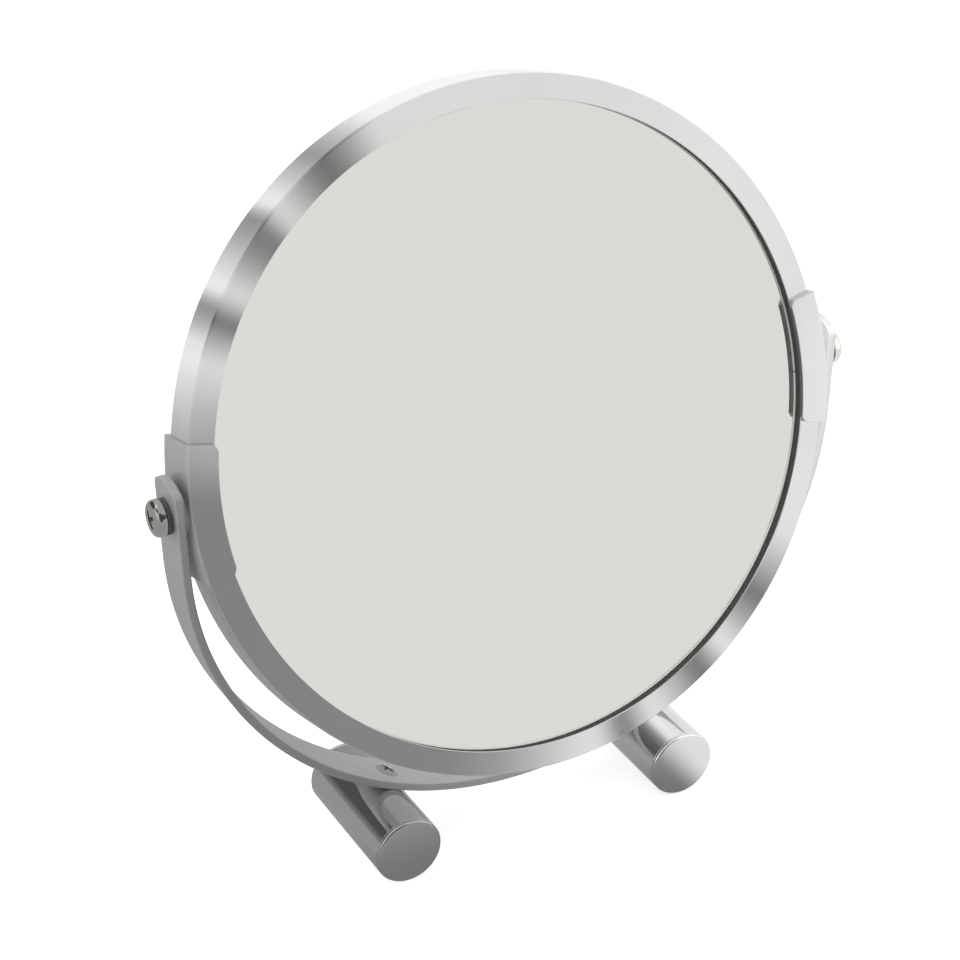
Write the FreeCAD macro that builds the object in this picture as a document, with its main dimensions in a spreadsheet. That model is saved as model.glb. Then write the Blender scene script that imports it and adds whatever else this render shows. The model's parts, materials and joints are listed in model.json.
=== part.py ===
import FreeCAD, Part
import Sketcher
import math
import os

# Two-sided table mirror: a round channel-framed head that turns between the
# ends of a bent strip bow, which stands on two cross tubes.
# Millimetres, +Z up. The origin is on the table, below the pivot axis.
# The head is drawn in its own upright frame (origin on the pivot axis,
# X along that axis, Y to the rear) and then leaned back by head_tilt.

os.makedirs("parts", exist_ok=True)
V = FreeCAD.Vector
doc = FreeCAD.newDocument("table_mirror")

# ---------------------------------------------------------------- dimensions
sheet = doc.addObject("Spreadsheet::Sheet", "dims")
DIMS = [
    # pose
    ("pivot_height", 110.2), ("head_tilt", 15.0),
    # frame ring: rolled channel
    ("ring_radius", 87.5), ("ring_depth", 12.7), ("ring_sheet", 0.6),
    ("lip_radius", 81.0), ("lip_fall", 0.5), ("ring_bend", 0.8), ("lip_round", 0.22),
    ("seam_width", 0.3), ("seam_angle", 2.5), ("web_hole", 5.6),
    # gasket
    ("gasket_outer", 86.75), ("gasket_bore", 83.05), ("gasket_lip", 81.3),
    ("gasket_half", 5.65), ("gasket_front", 4.43), ("gasket_rear", 5.13),
    ("nut_window", 9.4), ("nut_window_depth", 8.6),
    # glasses and what lies between them
    ("glass_radius", 83.0), ("glass_thick", 2.0), ("glass_front", 4.4),
    ("glass_bevel", 0.3), ("concave_radius", 850.0), ("concave_rim", 5.1),
    ("spacer_bore", 79.0), ("spacer_front", 2.38), ("spacer_rear", 2.66),
    ("card_radius", 78.5), ("card_thick", 0.8),
    # pivot blocks
    ("block_radius", 88.3), ("block_bore", 87.55), ("block_half", 7.75),
    ("block_grip", 6.38), ("block_edge", 80.5), ("block_angle", 22.6),
    ("block_corner", 2.0), ("block_round", 0.6), ("block_hole", 5.6),
    ("seat_radius", 5.5), ("seat_x", 88.12),
    # pivot hardware
    ("nut_width", 8.0), ("nut_thick", 2.7), ("nut_face", 86.78),
    ("screw_radius", 2.5), ("screw_tip", 83.9), ("screw_under", 93.0),
    ("head_radius", 4.6), ("head_side", 2.4), ("head_height", 3.0), ("head_round", 1.4),
    ("recess_wing", 4.9), ("recess_width", 1.0), ("recess_depth", 1.9),
    ("spring_outer", 4.5), ("spring_bore", 2.6), ("spring_in", 91.86),
    ("spring_thick", 1.12), ("spring_slit", 0.8),
    ("washer_outer", 5.2), ("washer_in", 88.14), ("washer_thick", 0.94),
    # bow
    ("bow_half", 91.0), ("bow_thick", 2.2), ("bow_width", 12.6),
    ("bow_end", 9.5), ("bow_leg", 99.15), ("bow_side_radius", 86.4),
    ("bow_floor", 9.5), ("bow_corner", 0.8),
    ("bow_lean", 2.5),
    ("pivot_hole", 5.1), ("foot_hole", 4.3), ("sink_radius", 3.45),
    # feet
    ("foot_radius", 9.05), ("foot_wall", 1.1), ("foot_front", 21.5),
    ("foot_rear", 18.0), ("foot_seat", 0.12),
    ("cap_thick", 1.0), ("cap_round", 0.7), ("cap_plug", 5.0),
    ("plug_radius", 7.9), ("core_half", 7.0), ("core_radius", 7.9),
    ("footscrew_radius", 2.0), ("footscrew_length", 14.0),
    ("footscrew_head", 3.3), ("footscrew_cone", 1.3), ("footscrew_dome", 0.75),
    ("footrecess_wing", 3.6), ("footrecess_width", 0.9), ("footrecess_depth", 1.5),
]
D = dict(DIMS)
for i, (alias, value) in enumerate(DIMS, start=1):
    sheet.set("A%d" % i, alias)
    sheet.set("B%d" % i, repr(value))
    sheet.setAlias("B%d" % i, alias)

# The bow's lowest stretch is one large arc, tangent to the two side arcs.
# Its radius and centre follow from the other bow sizes, and the feet lie
# under it, on lines through its centre.
_cx = D["bow_half"] - D["bow_side_radius"]
_drop = D["bow_leg"] - D["bow_floor"]
_k = _drop - D["bow_side_radius"]
D["bow_base_radius"] = D["bow_side_radius"] + (_cx * _cx + _k * _k) / (2.0 * _k)
D["bow_centre"] = D["bow_floor"] + D["bow_base_radius"]
_fr = D["bow_base_radius"] + D["foot_radius"] - D["foot_seat"]
D["foot_axis_z"] = D["foot_radius"]
D["foot_lean"] = math.degrees(math.acos((D["bow_centre"] - D["foot_axis_z"]) / _fr))
D["foot_axis_x"] = _fr * math.sin(math.radians(D["foot_lean"]))
D["bow_top"] = D["pivot_height"] + D["bow_end"]
# The legs lean outwards a little, tangent to the side arcs.
_le = math.radians(D["bow_lean"])
D["bow_reach"] = _cx + D["bow_side_radius"] * math.cos(_le) + (D["bow_top"] - D["bow_leg"] + D["bow_side_radius"] * math.sin(_le)) * math.tan(_le)
D["bow_reach_in"] = D["bow_reach"] - D["bow_thick"] / math.cos(_le)
row = len(DIMS) + 1
FORMULAS = [
    ("bow_base_radius", "=bow_side_radius + ((bow_half - bow_side_radius)^2 + (bow_leg - bow_floor - bow_side_radius)^2) / (2 * (bow_leg - bow_floor - bow_side_radius))"),
    ("bow_centre", "=bow_floor + bow_base_radius"),
    ("foot_lean", "=acos((bow_centre - foot_radius) / (bow_base_radius + foot_radius - foot_seat)) / 1 deg"),
    ("foot_axis_x", "=(bow_base_radius + foot_radius - foot_seat) * sin(foot_lean * 1 deg)"),
    ("foot_axis_z", "=foot_radius"),
    ("bow_top", "=pivot_height + bow_end"),
    ("bow_reach", "=bow_half - bow_side_radius + bow_side_radius * cos(bow_lean * 1 deg) + (bow_top - bow_leg + bow_side_radius * sin(bow_lean * 1 deg)) * tan(bow_lean * 1 deg)"),
    ("bow_reach_in", "=bow_reach - bow_thick / cos(bow_lean * 1 deg)"),
]
for i, (alias, text) in enumerate(FORMULAS):
    sheet.set("A%d" % (row + i), alias)
    sheet.set("B%d" % (row + i), text)
    sheet.setAlias("B%d" % (row + i), alias)
doc.recompute()
for alias, text in FORMULAS:
    got = float(sheet.get(alias))
    if abs(got - D[alias]) > 1e-6:
        raise RuntimeError("sheet formula %s gives %r, expected %r" % (alias, got, D[alias]))
print("foot axis x %.3f z %.3f lean %.3f, bow base radius %.3f centre %.3f" % (
    D["foot_axis_x"], D["foot_axis_z"], D["foot_lean"], D["bow_base_radius"], D["bow_centre"]))

NODES = []


def value(expr):
    """Number that an expression in the sheet's aliases stands for."""
    names = dict(D)
    total = 0.0
    for sign, term in terms(expr):
        part = 1.0
        for f in term.split("*"):
            f = f.strip()
            if "/" in f:
                a, b = f.split("/")
                part *= (names[a.strip()] if a.strip() in names else float(a)) / \
                        (names[b.strip()] if b.strip() in names else float(b))
            else:
                part *= names[f] if f in names else float(f)
        total += sign * part
    return total


def terms(expr):
    """Split a sum such as "-a + b*2 - c/2" into signed terms."""
    out, sign, word = [], 1.0, ""
    for ch in expr:
        if ch in "+-":
            if word.strip():
                out.append((sign, word.strip()))
                sign = 1.0
            word = ""
            sign = sign * (-1.0 if ch == "-" else 1.0)
        else:
            word += ch
    if word.strip():
        out.append((sign, word.strip()))
    return out


def cells(expr):
    """The same expression with each alias written as a cell of the sheet."""
    text = " " + expr + " "
    word, out = "", ""
    for ch in text:
        if ch.isalnum() or ch in "_.":
            word += ch
        else:
            out += ("dims." + word) if word in D else word
            word = ""
            out += ch
    return out.strip()


def body(name):
    b = doc.addObject("PartDesign::Body", name)
    b.Label = name
    return b


def plane(b, role):
    return [f for f in b.Origin.OriginFeatures if f.Role == role][0]


def sketch(b, name, role, offset=None):
    s = b.newObject("Sketcher::SketchObject", name)
    s.AttachmentSupport = [(plane(b, role), "")]
    s.MapMode = "FlatFace"
    if offset is not None:
        s.AttachmentOffset = offset
    return s


def pin(s, geo, pos, ex, ey):
    """Hold a point of a sketch at coordinates given as expressions."""
    for kind, expr, axis in (("DistanceX", ex, -2), ("DistanceY", ey, -1)):
        v = value(expr)
        if abs(v) < 1e-12:
            s.addConstraint(Sketcher.Constraint("PointOnObject", geo, pos, axis))
        else:
            c = s.addConstraint(Sketcher.Constraint(kind, geo, pos, v))
            s.setExpression("Constraints[%d]" % c, cells(expr))


def polygon(s, points):
    """Closed outline through points given as pairs of expressions."""
    xy = [V(value(a), value(b), 0) for a, b in points]
    n = len(xy)
    first = s.GeometryCount
    for i in range(n):
        s.addGeometry(Part.LineSegment(xy[i], xy[(i + 1) % n]), False)
    for i in range(n):
        s.addConstraint(Sketcher.Constraint("Coincident", first + i, 2, first + (i + 1) % n, 1))
    for i, (a, b) in enumerate(points):
        pin(s, first + i, 1, a, b)


def circle(s, expr_radius):
    g = s.addGeometry(Part.Circle(V(0, 0, 0), V(0, 0, 1), value(expr_radius)), False)
    s.addConstraint(Sketcher.Constraint("Coincident", g, 3, -1, 1))
    c = s.addConstraint(Sketcher.Constraint("Radius", g, value(expr_radius)))
    s.setExpression("Constraints[%d]" % c, cells(expr_radius))


def revolve(b, s, axis, angle=None):
    r = b.newObject("PartDesign::Revolution", b.Name + "_turn")
    r.Profile = s
    r.ReferenceAxis = (s, [axis])
    if angle is None:
        r.Angle = 360.0
    else:
        r.Angle = value(angle)
        r.setExpression("Angle", cells(angle))
        r.Midplane = True
    doc.recompute()
    return r


def through(b, s, name):
    """Cut a sketch right through the body, both ways."""
    before = b.Shape.Volume
    p = b.newObject("PartDesign::Pocket", name)
    p.Profile = s
    p.Type = "ThroughAll"
    p.Midplane = True
    doc.recompute()
    if not b.Shape.Volume < before - 1e-6:
        raise RuntimeError("%s cuts nothing" % name)
    return p


def rounded(b, base, size, pick, name):
    """Fillet the edges of the body's last feature that pick accepts."""
    doc.recompute()
    edges = ["Edge%d" % (i + 1) for i, e in enumerate(base.Shape.Edges) if pick(e)]
    if not edges:
        raise RuntimeError("%s finds no edges" % name)
    f = b.newObject("PartDesign::Fillet", name)
    f.Base = (base, edges)
    f.Radius = value(size)
    f.setExpression("Radius", cells(size))
    doc.recompute()
    return f


def circle_edge(e, radius, y=None, x=None, tol=1e-3):
    if e.Degenerated:
        return False
    c = e.Curve
    if not isinstance(c, Part.Circle) or abs(c.Radius - radius) > tol:
        return False
    if y is not None and abs(c.Center.y - y) > tol:
        return False
    if x is not None and abs(c.Center.x - x) > tol:
        return False
    return True


def place_head(obj):
    """Lean a piece of the head back about the pivot axis, at pivot height."""
    obj.Placement = FreeCAD.Placement(V(0, 0, D["pivot_height"]), FreeCAD.Rotation(V(1, 0, 0), -D["head_tilt"]))
    obj.setExpression("Placement.Base.z", "dims.pivot_height")
    obj.setExpression("Placement.Rotation.Angle", "-dims.head_tilt")


def place_head_left(obj):
    """The same for a piece drawn on the right and half-turned to the left."""
    half = FreeCAD.Rotation(V(0, 0, 1), 180)
    obj.Placement = FreeCAD.Placement(V(0, 0, D["pivot_height"]), FreeCAD.Rotation(V(1, 0, 0), -D["head_tilt"]) * half)
    obj.setExpression("Placement.Base.z", "dims.pivot_height")


def node(obj, name):
    obj.Label = name
    NODES.append((name, obj))
    return obj


# ------------------------------------------------------------ frame ring
# Channel section in (radius, y), turned about Y. The web is outside, the
# two lips point inwards over the glasses and fall off a little outwards.
b = body("frame_ring")
s = sketch(b, "ring_section", "XY_Plane")
polygon(s, [
    ("ring_radius", "-ring_depth/2 + lip_fall"), ("ring_radius", "ring_depth/2 - lip_fall"),
    ("lip_radius", "ring_depth/2"), ("lip_radius", "ring_depth/2 - ring_sheet"),
    ("ring_radius - ring_sheet", "ring_depth/2 - lip_fall - ring_sheet"),
    ("ring_radius - ring_sheet", "-ring_depth/2 + lip_fall + ring_sheet"),
    ("lip_radius", "-ring_depth/2 + ring_sheet"), ("lip_radius", "-ring_depth/2")])
r = revolve(b, s, "V_Axis")
half = D["ring_depth"] / 2
web = half - D["lip_fall"]
f = rounded(b, r, "ring_bend", lambda e: circle_edge(e, D["ring_radius"], -web) or circle_edge(e, D["ring_radius"], web), "ring_bends")
rounded(b, f, "lip_round", lambda e: circle_edge(e, D["lip_radius"], -half) or circle_edge(e, D["lip_radius"], half), "ring_lips")
# butt seam of the rolled channel, under the right block
a = math.radians(D["seam_angle"])
s = sketch(b, "ring_seam_outline", "XZ_Plane")
ca, sa, w2 = math.cos(a), math.sin(a), D["seam_width"] / 2
D["seam_x1"], D["seam_z1"] = 78.0 * ca - w2 * sa, -78.0 * sa - w2 * ca
D["seam_x2"], D["seam_z2"] = 90.0 * ca - w2 * sa, -90.0 * sa - w2 * ca
D["seam_x3"], D["seam_z3"] = 90.0 * ca + w2 * sa, -90.0 * sa + w2 * ca
D["seam_x4"], D["seam_z4"] = 78.0 * ca + w2 * sa, -78.0 * sa + w2 * ca
row = row + len(FORMULAS)
for i, k in enumerate(("1", "2", "3", "4")):
    far = "78" if k in "14" else "90"
    sg = "-" if k in "12" else "+"
    for j, (al, text) in enumerate((
            ("seam_x" + k, "=%s * cos(seam_angle * 1 deg) %s seam_width / 2 * sin(seam_angle * 1 deg)" % (far, sg)),
            ("seam_z" + k, "=-%s * sin(seam_angle * 1 deg) %s seam_width / 2 * cos(seam_angle * 1 deg)" % (far, sg)))):
        cell = row + 2 * i + j
        sheet.set("A%d" % cell, al)
        sheet.set("B%d" % cell, text)
        sheet.setAlias("B%d" % cell, al)
doc.recompute()
polygon(s, [("seam_x1", "seam_z1"), ("seam_x2", "seam_z2"), ("seam_x3", "seam_z3"), ("seam_x4", "seam_z4")])
through(b, s, "ring_seam")
# clearance holes for the pivot screws, on both sides
s = sketch(b, "ring_hole_outline", "YZ_Plane")
circle(s, "web_hole/2")
through(b, s, "ring_holes")
place_head(b)
node(b, "frame_ring")

# ------------------------------------------------------------ edge gasket
b = body("edge_gasket")
s = sketch(b, "gasket_section", "XY_Plane")
polygon(s, [
    ("gasket_outer", "-gasket_half + lip_fall"), ("gasket_outer", "gasket_half - lip_fall"),
    ("gasket_lip", "gasket_half"), ("gasket_lip", "gasket_rear"),
    ("gasket_bore", "gasket_rear"), ("gasket_bore", "-gasket_front"),
    ("gasket_lip", "-gasket_front"), ("gasket_lip", "-gasket_half")])
revolve(b, s, "V_Axis")
s = sketch(b, "gasket_window_outline", "YZ_Plane")
polygon(s, [
    ("-nut_window_depth/2", "-nut_window/2"), ("nut_window_depth/2", "-nut_window/2"),
    ("nut_window_depth/2", "nut_window/2"), ("-nut_window_depth/2", "nut_window/2")])
through(b, s, "gasket_windows")
place_head(b)
node(b, "edge_gasket")

# ------------------------------------------------------------ plain glass
b = body("mirror_glass_plain")
s = sketch(b, "plain_section", "XY_Plane")
polygon(s, [
    ("0", "-glass_front"), ("glass_radius - glass_bevel", "-glass_front"),
    ("glass_radius", "-glass_front + glass_bevel"),
    ("glass_radius", "-glass_front + glass_thick - glass_bevel"),
    ("glass_radius - glass_bevel", "-glass_front + glass_thick"),
    ("0", "-glass_front + glass_thick")])
revolve(b, s, "V_Axis")
place_head(b)
node(b, "mirror_glass_plain")

# ------------------------------------------------------------ magnifying glass
# A bent disc: the space between two spheres with one centre, cut to a round.
outer = doc.addObject("Part::Sphere", "concave_back_sphere")
outer.Radius = D["concave_radius"] + D["glass_thick"]
outer.setExpression("Radius", "dims.concave_radius + dims.glass_thick")
inner = doc.addObject("Part::Sphere", "concave_face_sphere")
inner.Radius = D["concave_radius"]
inner.setExpression("Radius", "dims.concave_radius")
for sp in (outer, inner):
    yc = D["concave_rim"] + math.sqrt(D["concave_radius"] ** 2 - D["glass_radius"] ** 2)
    sp.Placement = FreeCAD.Placement(V(0, yc, 0), FreeCAD.Rotation(V(1, 0, 0), 0))
    sp.setExpression("Placement.Base.y", "dims.concave_rim + sqrt(dims.concave_radius^2 - dims.glass_radius^2)")
blank = doc.addObject("Part::Cylinder", "concave_blank")
blank.Radius = D["glass_radius"]
blank.setExpression("Radius", "dims.glass_radius")
blank.Height = 12.0
blank.Placement = FreeCAD.Placement(V(0, 6.0, 0), FreeCAD.Rotation(V(1, 0, 0), 90))
common = doc.addObject("Part::Common", "concave_disc")
common.Base = blank
common.Tool = outer
mag = doc.addObject("Part::Cut", "mirror_glass_magnifying")
mag.Base = common
mag.Tool = inner
doc.recompute()
place_head(mag)
node(mag, "mirror_glass_magnifying")

# ------------------------------------------------------------ spacer and card
b = body("glass_spacer_ring")
s = sketch(b, "spacer_section", "XY_Plane")
polygon(s, [
    ("spacer_bore", "-spacer_front"), ("glass_radius", "-spacer_front"),
    ("glass_radius", "spacer_rear"), ("spacer_bore", "spacer_rear")])
revolve(b, s, "V_Axis")
place_head(b)
node(b, "glass_spacer_ring")

b = body("backing_card")
s = sketch(b, "card_section", "XY_Plane")
polygon(s, [
    ("0", "-spacer_front"), ("card_radius", "-spacer_front"),
    ("card_radius", "-spacer_front + card_thick"), ("0", "-spacer_front + card_thick")])
revolve(b, s, "V_Axis")
place_head(b)
node(b, "backing_card")

# ------------------------------------------------------------ pivot blocks
# A clip of C section over the ring, turned through block_angle about Y.
for side in ("right", "left"):
    b = body("pivot_block_" + side)
    s = sketch(b, "block_section_" + side, "XY_Plane")
    polygon(s, [
        ("block_radius", "-block_half"), ("block_radius", "block_half"),
        ("block_edge", "block_half"), ("block_edge", "block_grip"),
        ("block_bore", "block_grip"), ("block_bore", "-block_grip"),
        ("block_edge", "-block_grip"), ("block_edge", "-block_half")])
    r = revolve(b, s, "V_Axis", "block_angle")

    def corner(e):
        # short edges along Y at the inner corners of the two flanges
        if not isinstance(e.Curve, Part.Line):
            return False
        p, q = e.Vertexes[0].Point, e.Vertexes[-1].Point
        return abs(p.x - q.x) < 1e-4 and abs(math.hypot(p.x, p.z) - D["block_edge"]) < 1e-3 and abs(p.y - q.y) > 0.5

    f = rounded(b, r, "block_corner", corner, "block_corners_" + side)
    f = rounded(b, f, "block_round", lambda e: circle_edge(e, D["block_radius"], -D["block_half"]) or circle_edge(e, D["block_radius"], D["block_half"]), "block_rounds_" + side)
    s = sketch(b, "block_hole_outline_" + side, "YZ_Plane")
    circle(s, "block_hole/2")
    through(b, s, "block_hole_" + side)
    # flat seat for the friction washer
    s = sketch(b, "block_seat_outline_" + side, "YZ_Plane", FreeCAD.Placement(V(0, 0, D["seat_x"]), FreeCAD.Rotation(V(0, 0, 1), 0)))
    s.setExpression("AttachmentOffset.Base.z", "dims.seat_x")
    circle(s, "seat_radius")
    before = b.Shape.Volume
    p = b.newObject("PartDesign::Pocket", "block_seat_" + side)
    p.Profile = s
    p.Type = "Length"
    p.Length = 3.0
    p.Reversed = True
    doc.recompute()
    if not b.Shape.Volume < before - 0.5:
        raise RuntimeError("block seat cuts nothing")
    (place_head if side == "right" else place_head_left)(b)
    node(b, "pivot_block_" + side)

# ------------------------------------------------------------ pivot nuts
for side in ("right", "left"):
    b = body("pivot_nut_" + side)
    s = sketch(b, "nut_outline_" + side, "YZ_Plane", FreeCAD.Placement(V(0, 0, D["nut_face"] - D["nut_thick"]), FreeCAD.Rotation(V(0, 0, 1), 0)))
    s.setExpression("AttachmentOffset.Base.z", "dims.nut_face - dims.nut_thick")
    polygon(s, [
        ("-nut_width/2", "-nut_width/2"), ("nut_width/2", "-nut_width/2"),
        ("nut_width/2", "nut_width/2"), ("-nut_width/2", "nut_width/2")])
    p = b.newObject("PartDesign::Pad", "nut_pad_" + side)
    p.Profile = s
    p.Length = D["nut_thick"]
    p.setExpression("Length", "dims.nut_thick")
    doc.recompute()
    s = sketch(b, "nut_bore_outline_" + side, "YZ_Plane")
    circle(s, "screw_radius + 0.02")
    through(b, s, "nut_bore_" + side)
    (place_head if side == "right" else place_head_left)(b)
    node(b, "pivot_nut_" + side)


def cross(b, name, role, offset_expr, wing, width, depth, reverse):
    """Cross recess cut into a screw head along its axis."""
    s = sketch(b, name + "_outline", role, FreeCAD.Placement(V(0, 0, value(offset_expr)), FreeCAD.Rotation(V(0, 0, 1), 0)))
    s.setExpression("AttachmentOffset.Base.z", cells(offset_expr))
    w, h = wing + "/2", width + "/2"
    polygon(s, [
        (w, "-" + h), (w, h), (h, h), (h, w), ("-" + h, w), ("-" + h, h),
        ("-" + w, h), ("-" + w, "-" + h), ("-" + h, "-" + h), ("-" + h, "-" + w),
        (h, "-" + w), (h, "-" + h)])
    before = b.Shape.Volume
    p = b.newObject("PartDesign::Pocket", name)
    p.Profile = s
    p.Type = "Length"
    p.Length = value(depth)
    p.setExpression("Length", cells(depth))
    p.Reversed = reverse
    doc.recompute()
    if not b.Shape.Volume < before - 0.5:
        raise RuntimeError("%s cuts nothing" % name)


# ------------------------------------------------------------ pivot screws
# Pan head: a straight side, a soft shoulder and a low dome. Turned about X.
for side in ("right", "left"):
    b = body("pivot_screw_" + side)
    s = sketch(b, "screw_section_" + side, "XY_Plane")
    x_tip, x_und = D["screw_tip"], D["screw_under"]
    x_side, x_top = x_und + D["head_side"], x_und + D["head_height"]
    rs, rh = D["screw_radius"], D["head_radius"]
    pts = [("screw_tip", "0"), ("screw_tip", "screw_radius - 0.4"), ("screw_tip + 0.4", "screw_radius"),
           ("screw_under", "screw_radius"), ("screw_under", "head_radius"), ("screw_under + head_side", "head_radius")]
    xy = [V(value(p), value(q), 0) for p, q in pts]
    for i in range(len(xy) - 1):
        s.addGeometry(Part.LineSegment(xy[i], xy[i + 1]), False)
    for i in range(len(xy) - 2):
        s.addConstraint(Sketcher.Constraint("Coincident", i, 2, i + 1, 1))
    for i in range(len(xy) - 1):
        pin(s, i, 1, *pts[i])
    pin(s, len(xy) - 2, 2, *pts[-1])
    # dome: part of a sphere centred on the screw's axis
    rise = x_top - x_side
    ball = (rh ** 2 + rise ** 2) / (2 * rise)
    half_a = math.asin(rh / ball) / 2
    mid = V(x_top - ball + ball * math.cos(half_a), ball * math.sin(half_a), 0)
    dome = s.addGeometry(Part.Arc(xy[-1], mid, V(x_top, 0, 0)), False)
    ends = [s.getPoint(dome, 1), s.getPoint(dome, 2)]
    near = 1 if (ends[0] - xy[-1]).Length < (ends[1] - xy[-1]).Length else 2
    s.addConstraint(Sketcher.Constraint("Coincident", dome, near, len(xy) - 2, 2))
    pin(s, dome, 3 - near, "screw_under + head_height", "0")
    s.addConstraint(Sketcher.Constraint("PointOnObject", dome, 3, -1))
    base = s.addGeometry(Part.LineSegment(V(x_top, 0, 0), xy[0]), False)
    s.addConstraint(Sketcher.Constraint("Coincident", base, 1, dome, 3 - near))
    s.addConstraint(Sketcher.Constraint("Coincident", base, 2, 0, 1))
    r = revolve(b, s, "H_Axis")
    rounded(b, r, "head_round", lambda e: circle_edge(e, D["head_radius"], None, D["screw_under"] + D["head_side"]), "screw_shoulder_" + side)
    cross(b, "screw_recess_" + side, "YZ_Plane", "screw_under + head_height", "recess_wing", "recess_width", "recess_depth", False)
    (place_head if side == "right" else place_head_left)(b)
    node(b, "pivot_screw_" + side)


def ring_x(name, bore, outer, x_in, thick):
    """Flat ring about the pivot axis, drawn on the right."""
    b = body(name)
    s = sketch(b, name + "_section", "XY_Plane")
    polygon(s, [(x_in, bore), (x_in + " + " + thick, bore), (x_in + " + " + thick, outer), (x_in, outer)])
    revolve(b, s, "H_Axis")
    return b


# ------------------------------------------------------------ washers
for side in ("right", "left"):
    # split spring washer under the screw head, slit on the slant
    full = ring_x("spring_ring_" + side, "spring_bore", "spring_outer", "spring_in", "spring_thick")
    slit = doc.addObject("Part::Box", "spring_slit_" + side)
    slit.Length, slit.Width, slit.Height = 4.0, D["spring_slit"], 4.0
    slit.setExpression("Width", "dims.spring_slit")
    slit.Placement = FreeCAD.Placement(V(D["spring_in"] + D["spring_thick"] / 2, 0, -4.0), FreeCAD.Rotation(V(0, 0, 1), 28), V(0, 0, 0))
    mid = slit.Placement.Rotation.multVec(V(2.0, D["spring_slit"] / 2, 0))
    slit.Placement = FreeCAD.Placement(V(D["spring_in"] + D["spring_thick"] / 2, 0, -5.6) - V(mid.x, mid.y, 0), slit.Placement.Rotation)
    cut = doc.addObject("Part::Cut", "spring_washer_" + side)
    cut.Base = full
    cut.Tool = slit
    doc.recompute()
    (place_head if side == "right" else place_head_left)(cut)
    node(cut, "spring_washer_" + side)
    w = ring_x("pivot_washer_" + side, "spring_bore", "washer_outer", "washer_in", "washer_thick")
    (place_head if side == "right" else place_head_left)(w)
    node(w, "pivot_washer_" + side)

# ------------------------------------------------------------ bow
# Outline of the strip in (x, z): straight leaning legs, side arcs, one base
# arc, and the same offset inwards by the strip's thickness.
b = body("bow_strip")
s = sketch(b, "bow_outline", "XZ_Plane")
W, T = D["bow_half"], D["bow_thick"]
zt, zl = D["bow_top"], D["bow_leg"]
R2, R1 = D["bow_side_radius"], D["bow_base_radius"]
c1, cx = D["bow_centre"], D["bow_half"] - D["bow_side_radius"]
# direction from the base arc's centre to the joint with the side arc
jl = math.hypot(cx, c1 - zl)
jx, jz = cx / jl, -(c1 - zl) / jl


def on(cxx, czz, rad, ang):
    return V(cxx + rad * math.cos(ang), czz + rad * math.sin(ang), 0)


LE = math.radians(D["bow_lean"])
tops_x = {0.0: D["bow_reach"], T: D["bow_reach_in"]}


def strip_side(off):
    """Leg, side arc, base arc, side arc, leg, from right top to left top."""
    ra, rb = R2 - off, R1 - off
    aj = math.atan2(jz, jx)
    segs = [
        Part.LineSegment(V(tops_x[off], zt, 0), on(cx, zl, ra, -LE)),
        Part.Arc(on(cx, zl, ra, -LE), on(cx, zl, ra, (aj - LE) / 2), on(cx, zl, ra, aj)),
        Part.Arc(on(0, c1, rb, aj), on(0, c1, rb, -math.pi / 2), on(0, c1, rb, -math.pi - aj)),
        Part.Arc(on(-cx, zl, ra, -math.pi - aj), on(-cx, zl, ra, -math.pi - (aj - LE) / 2), on(-cx, zl, ra, -math.pi + LE)),
        Part.LineSegment(on(-cx, zl, ra, -math.pi + LE), V(-tops_x[off], zt, 0)),
    ]
    return segs


ids = []
for off in (0.0, T):
    ids.append([s.addGeometry(g, False) for g in strip_side(off)])
tops = [s.addGeometry(Part.LineSegment(V(tops_x[0.0], zt, 0), V(tops_x[T], zt, 0)), False),
        s.addGeometry(Part.LineSegment(V(-tops_x[T], zt, 0), V(-tops_x[0.0], zt, 0)), False)]


def end_at(geo, p):
    """Which end of a sketch element lies at a point."""
    return 1 if (s.getPoint(geo, 1) - p).Length < (s.getPoint(geo, 2) - p).Length else 2


for k, off in enumerate((0.0, T)):
    g = ids[k]
    joints = [on(cx, zl, R2 - off, -LE), on(cx, zl, R2 - off, math.atan2(jz, jx)),
              on(-cx, zl, R2 - off, -math.pi - math.atan2(jz, jx)), on(-cx, zl, R2 - off, -math.pi + LE)]
    for i, p in enumerate(joints):
        s.addConstraint(Sketcher.Constraint("Tangent", g[i], end_at(g[i], p), g[i + 1], end_at(g[i + 1], p)))
o, n = ids
s.addConstraint(Sketcher.Constraint("Coincident", tops[0], 1, o[0], 1))
s.addConstraint(Sketcher.Constraint("Coincident", tops[0], 2, n[0], 1))
s.addConstraint(Sketcher.Constraint("Coincident", tops[1], 1, n[4], 2))
s.addConstraint(Sketcher.Constraint("Coincident", tops[1], 2, o[4], 2))
pin(s, o[0], 1, "bow_reach", "bow_top")
pin(s, n[0], 1, "bow_reach_in", "bow_top")
pin(s, o[4], 2, "-bow_reach", "bow_top")
pin(s, n[4], 2, "-bow_reach_in", "bow_top")
pin(s, o[1], 3, "bow_half - bow_side_radius", "bow_leg")
pin(s, o[3], 3, "-bow_half + bow_side_radius", "bow_leg")
c = s.addConstraint(Sketcher.Constraint("Radius", o[1], R2))
s.setExpression("Constraints[%d]" % c, "dims.bow_side_radius")
c = s.addConstraint(Sketcher.Constraint("Radius", o[2], R1))
s.setExpression("Constraints[%d]" % c, "dims.bow_base_radius")
s.addConstraint(Sketcher.Constraint("Equal", o[1], o[3]))
for i in (1, 2, 3):
    s.addConstraint(Sketcher.Constraint("Coincident", n[i], 3, o[i], 3))
s.addConstraint(Sketcher.Constraint("Parallel", n[0], o[0]))
solved = s.solve()
p = b.newObject("PartDesign::Pad", "bow_pad")
p.Profile = s
p.Length = D["bow_width"]
p.setExpression("Length", "dims.bow_width")
p.Midplane = True
doc.recompute()
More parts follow.
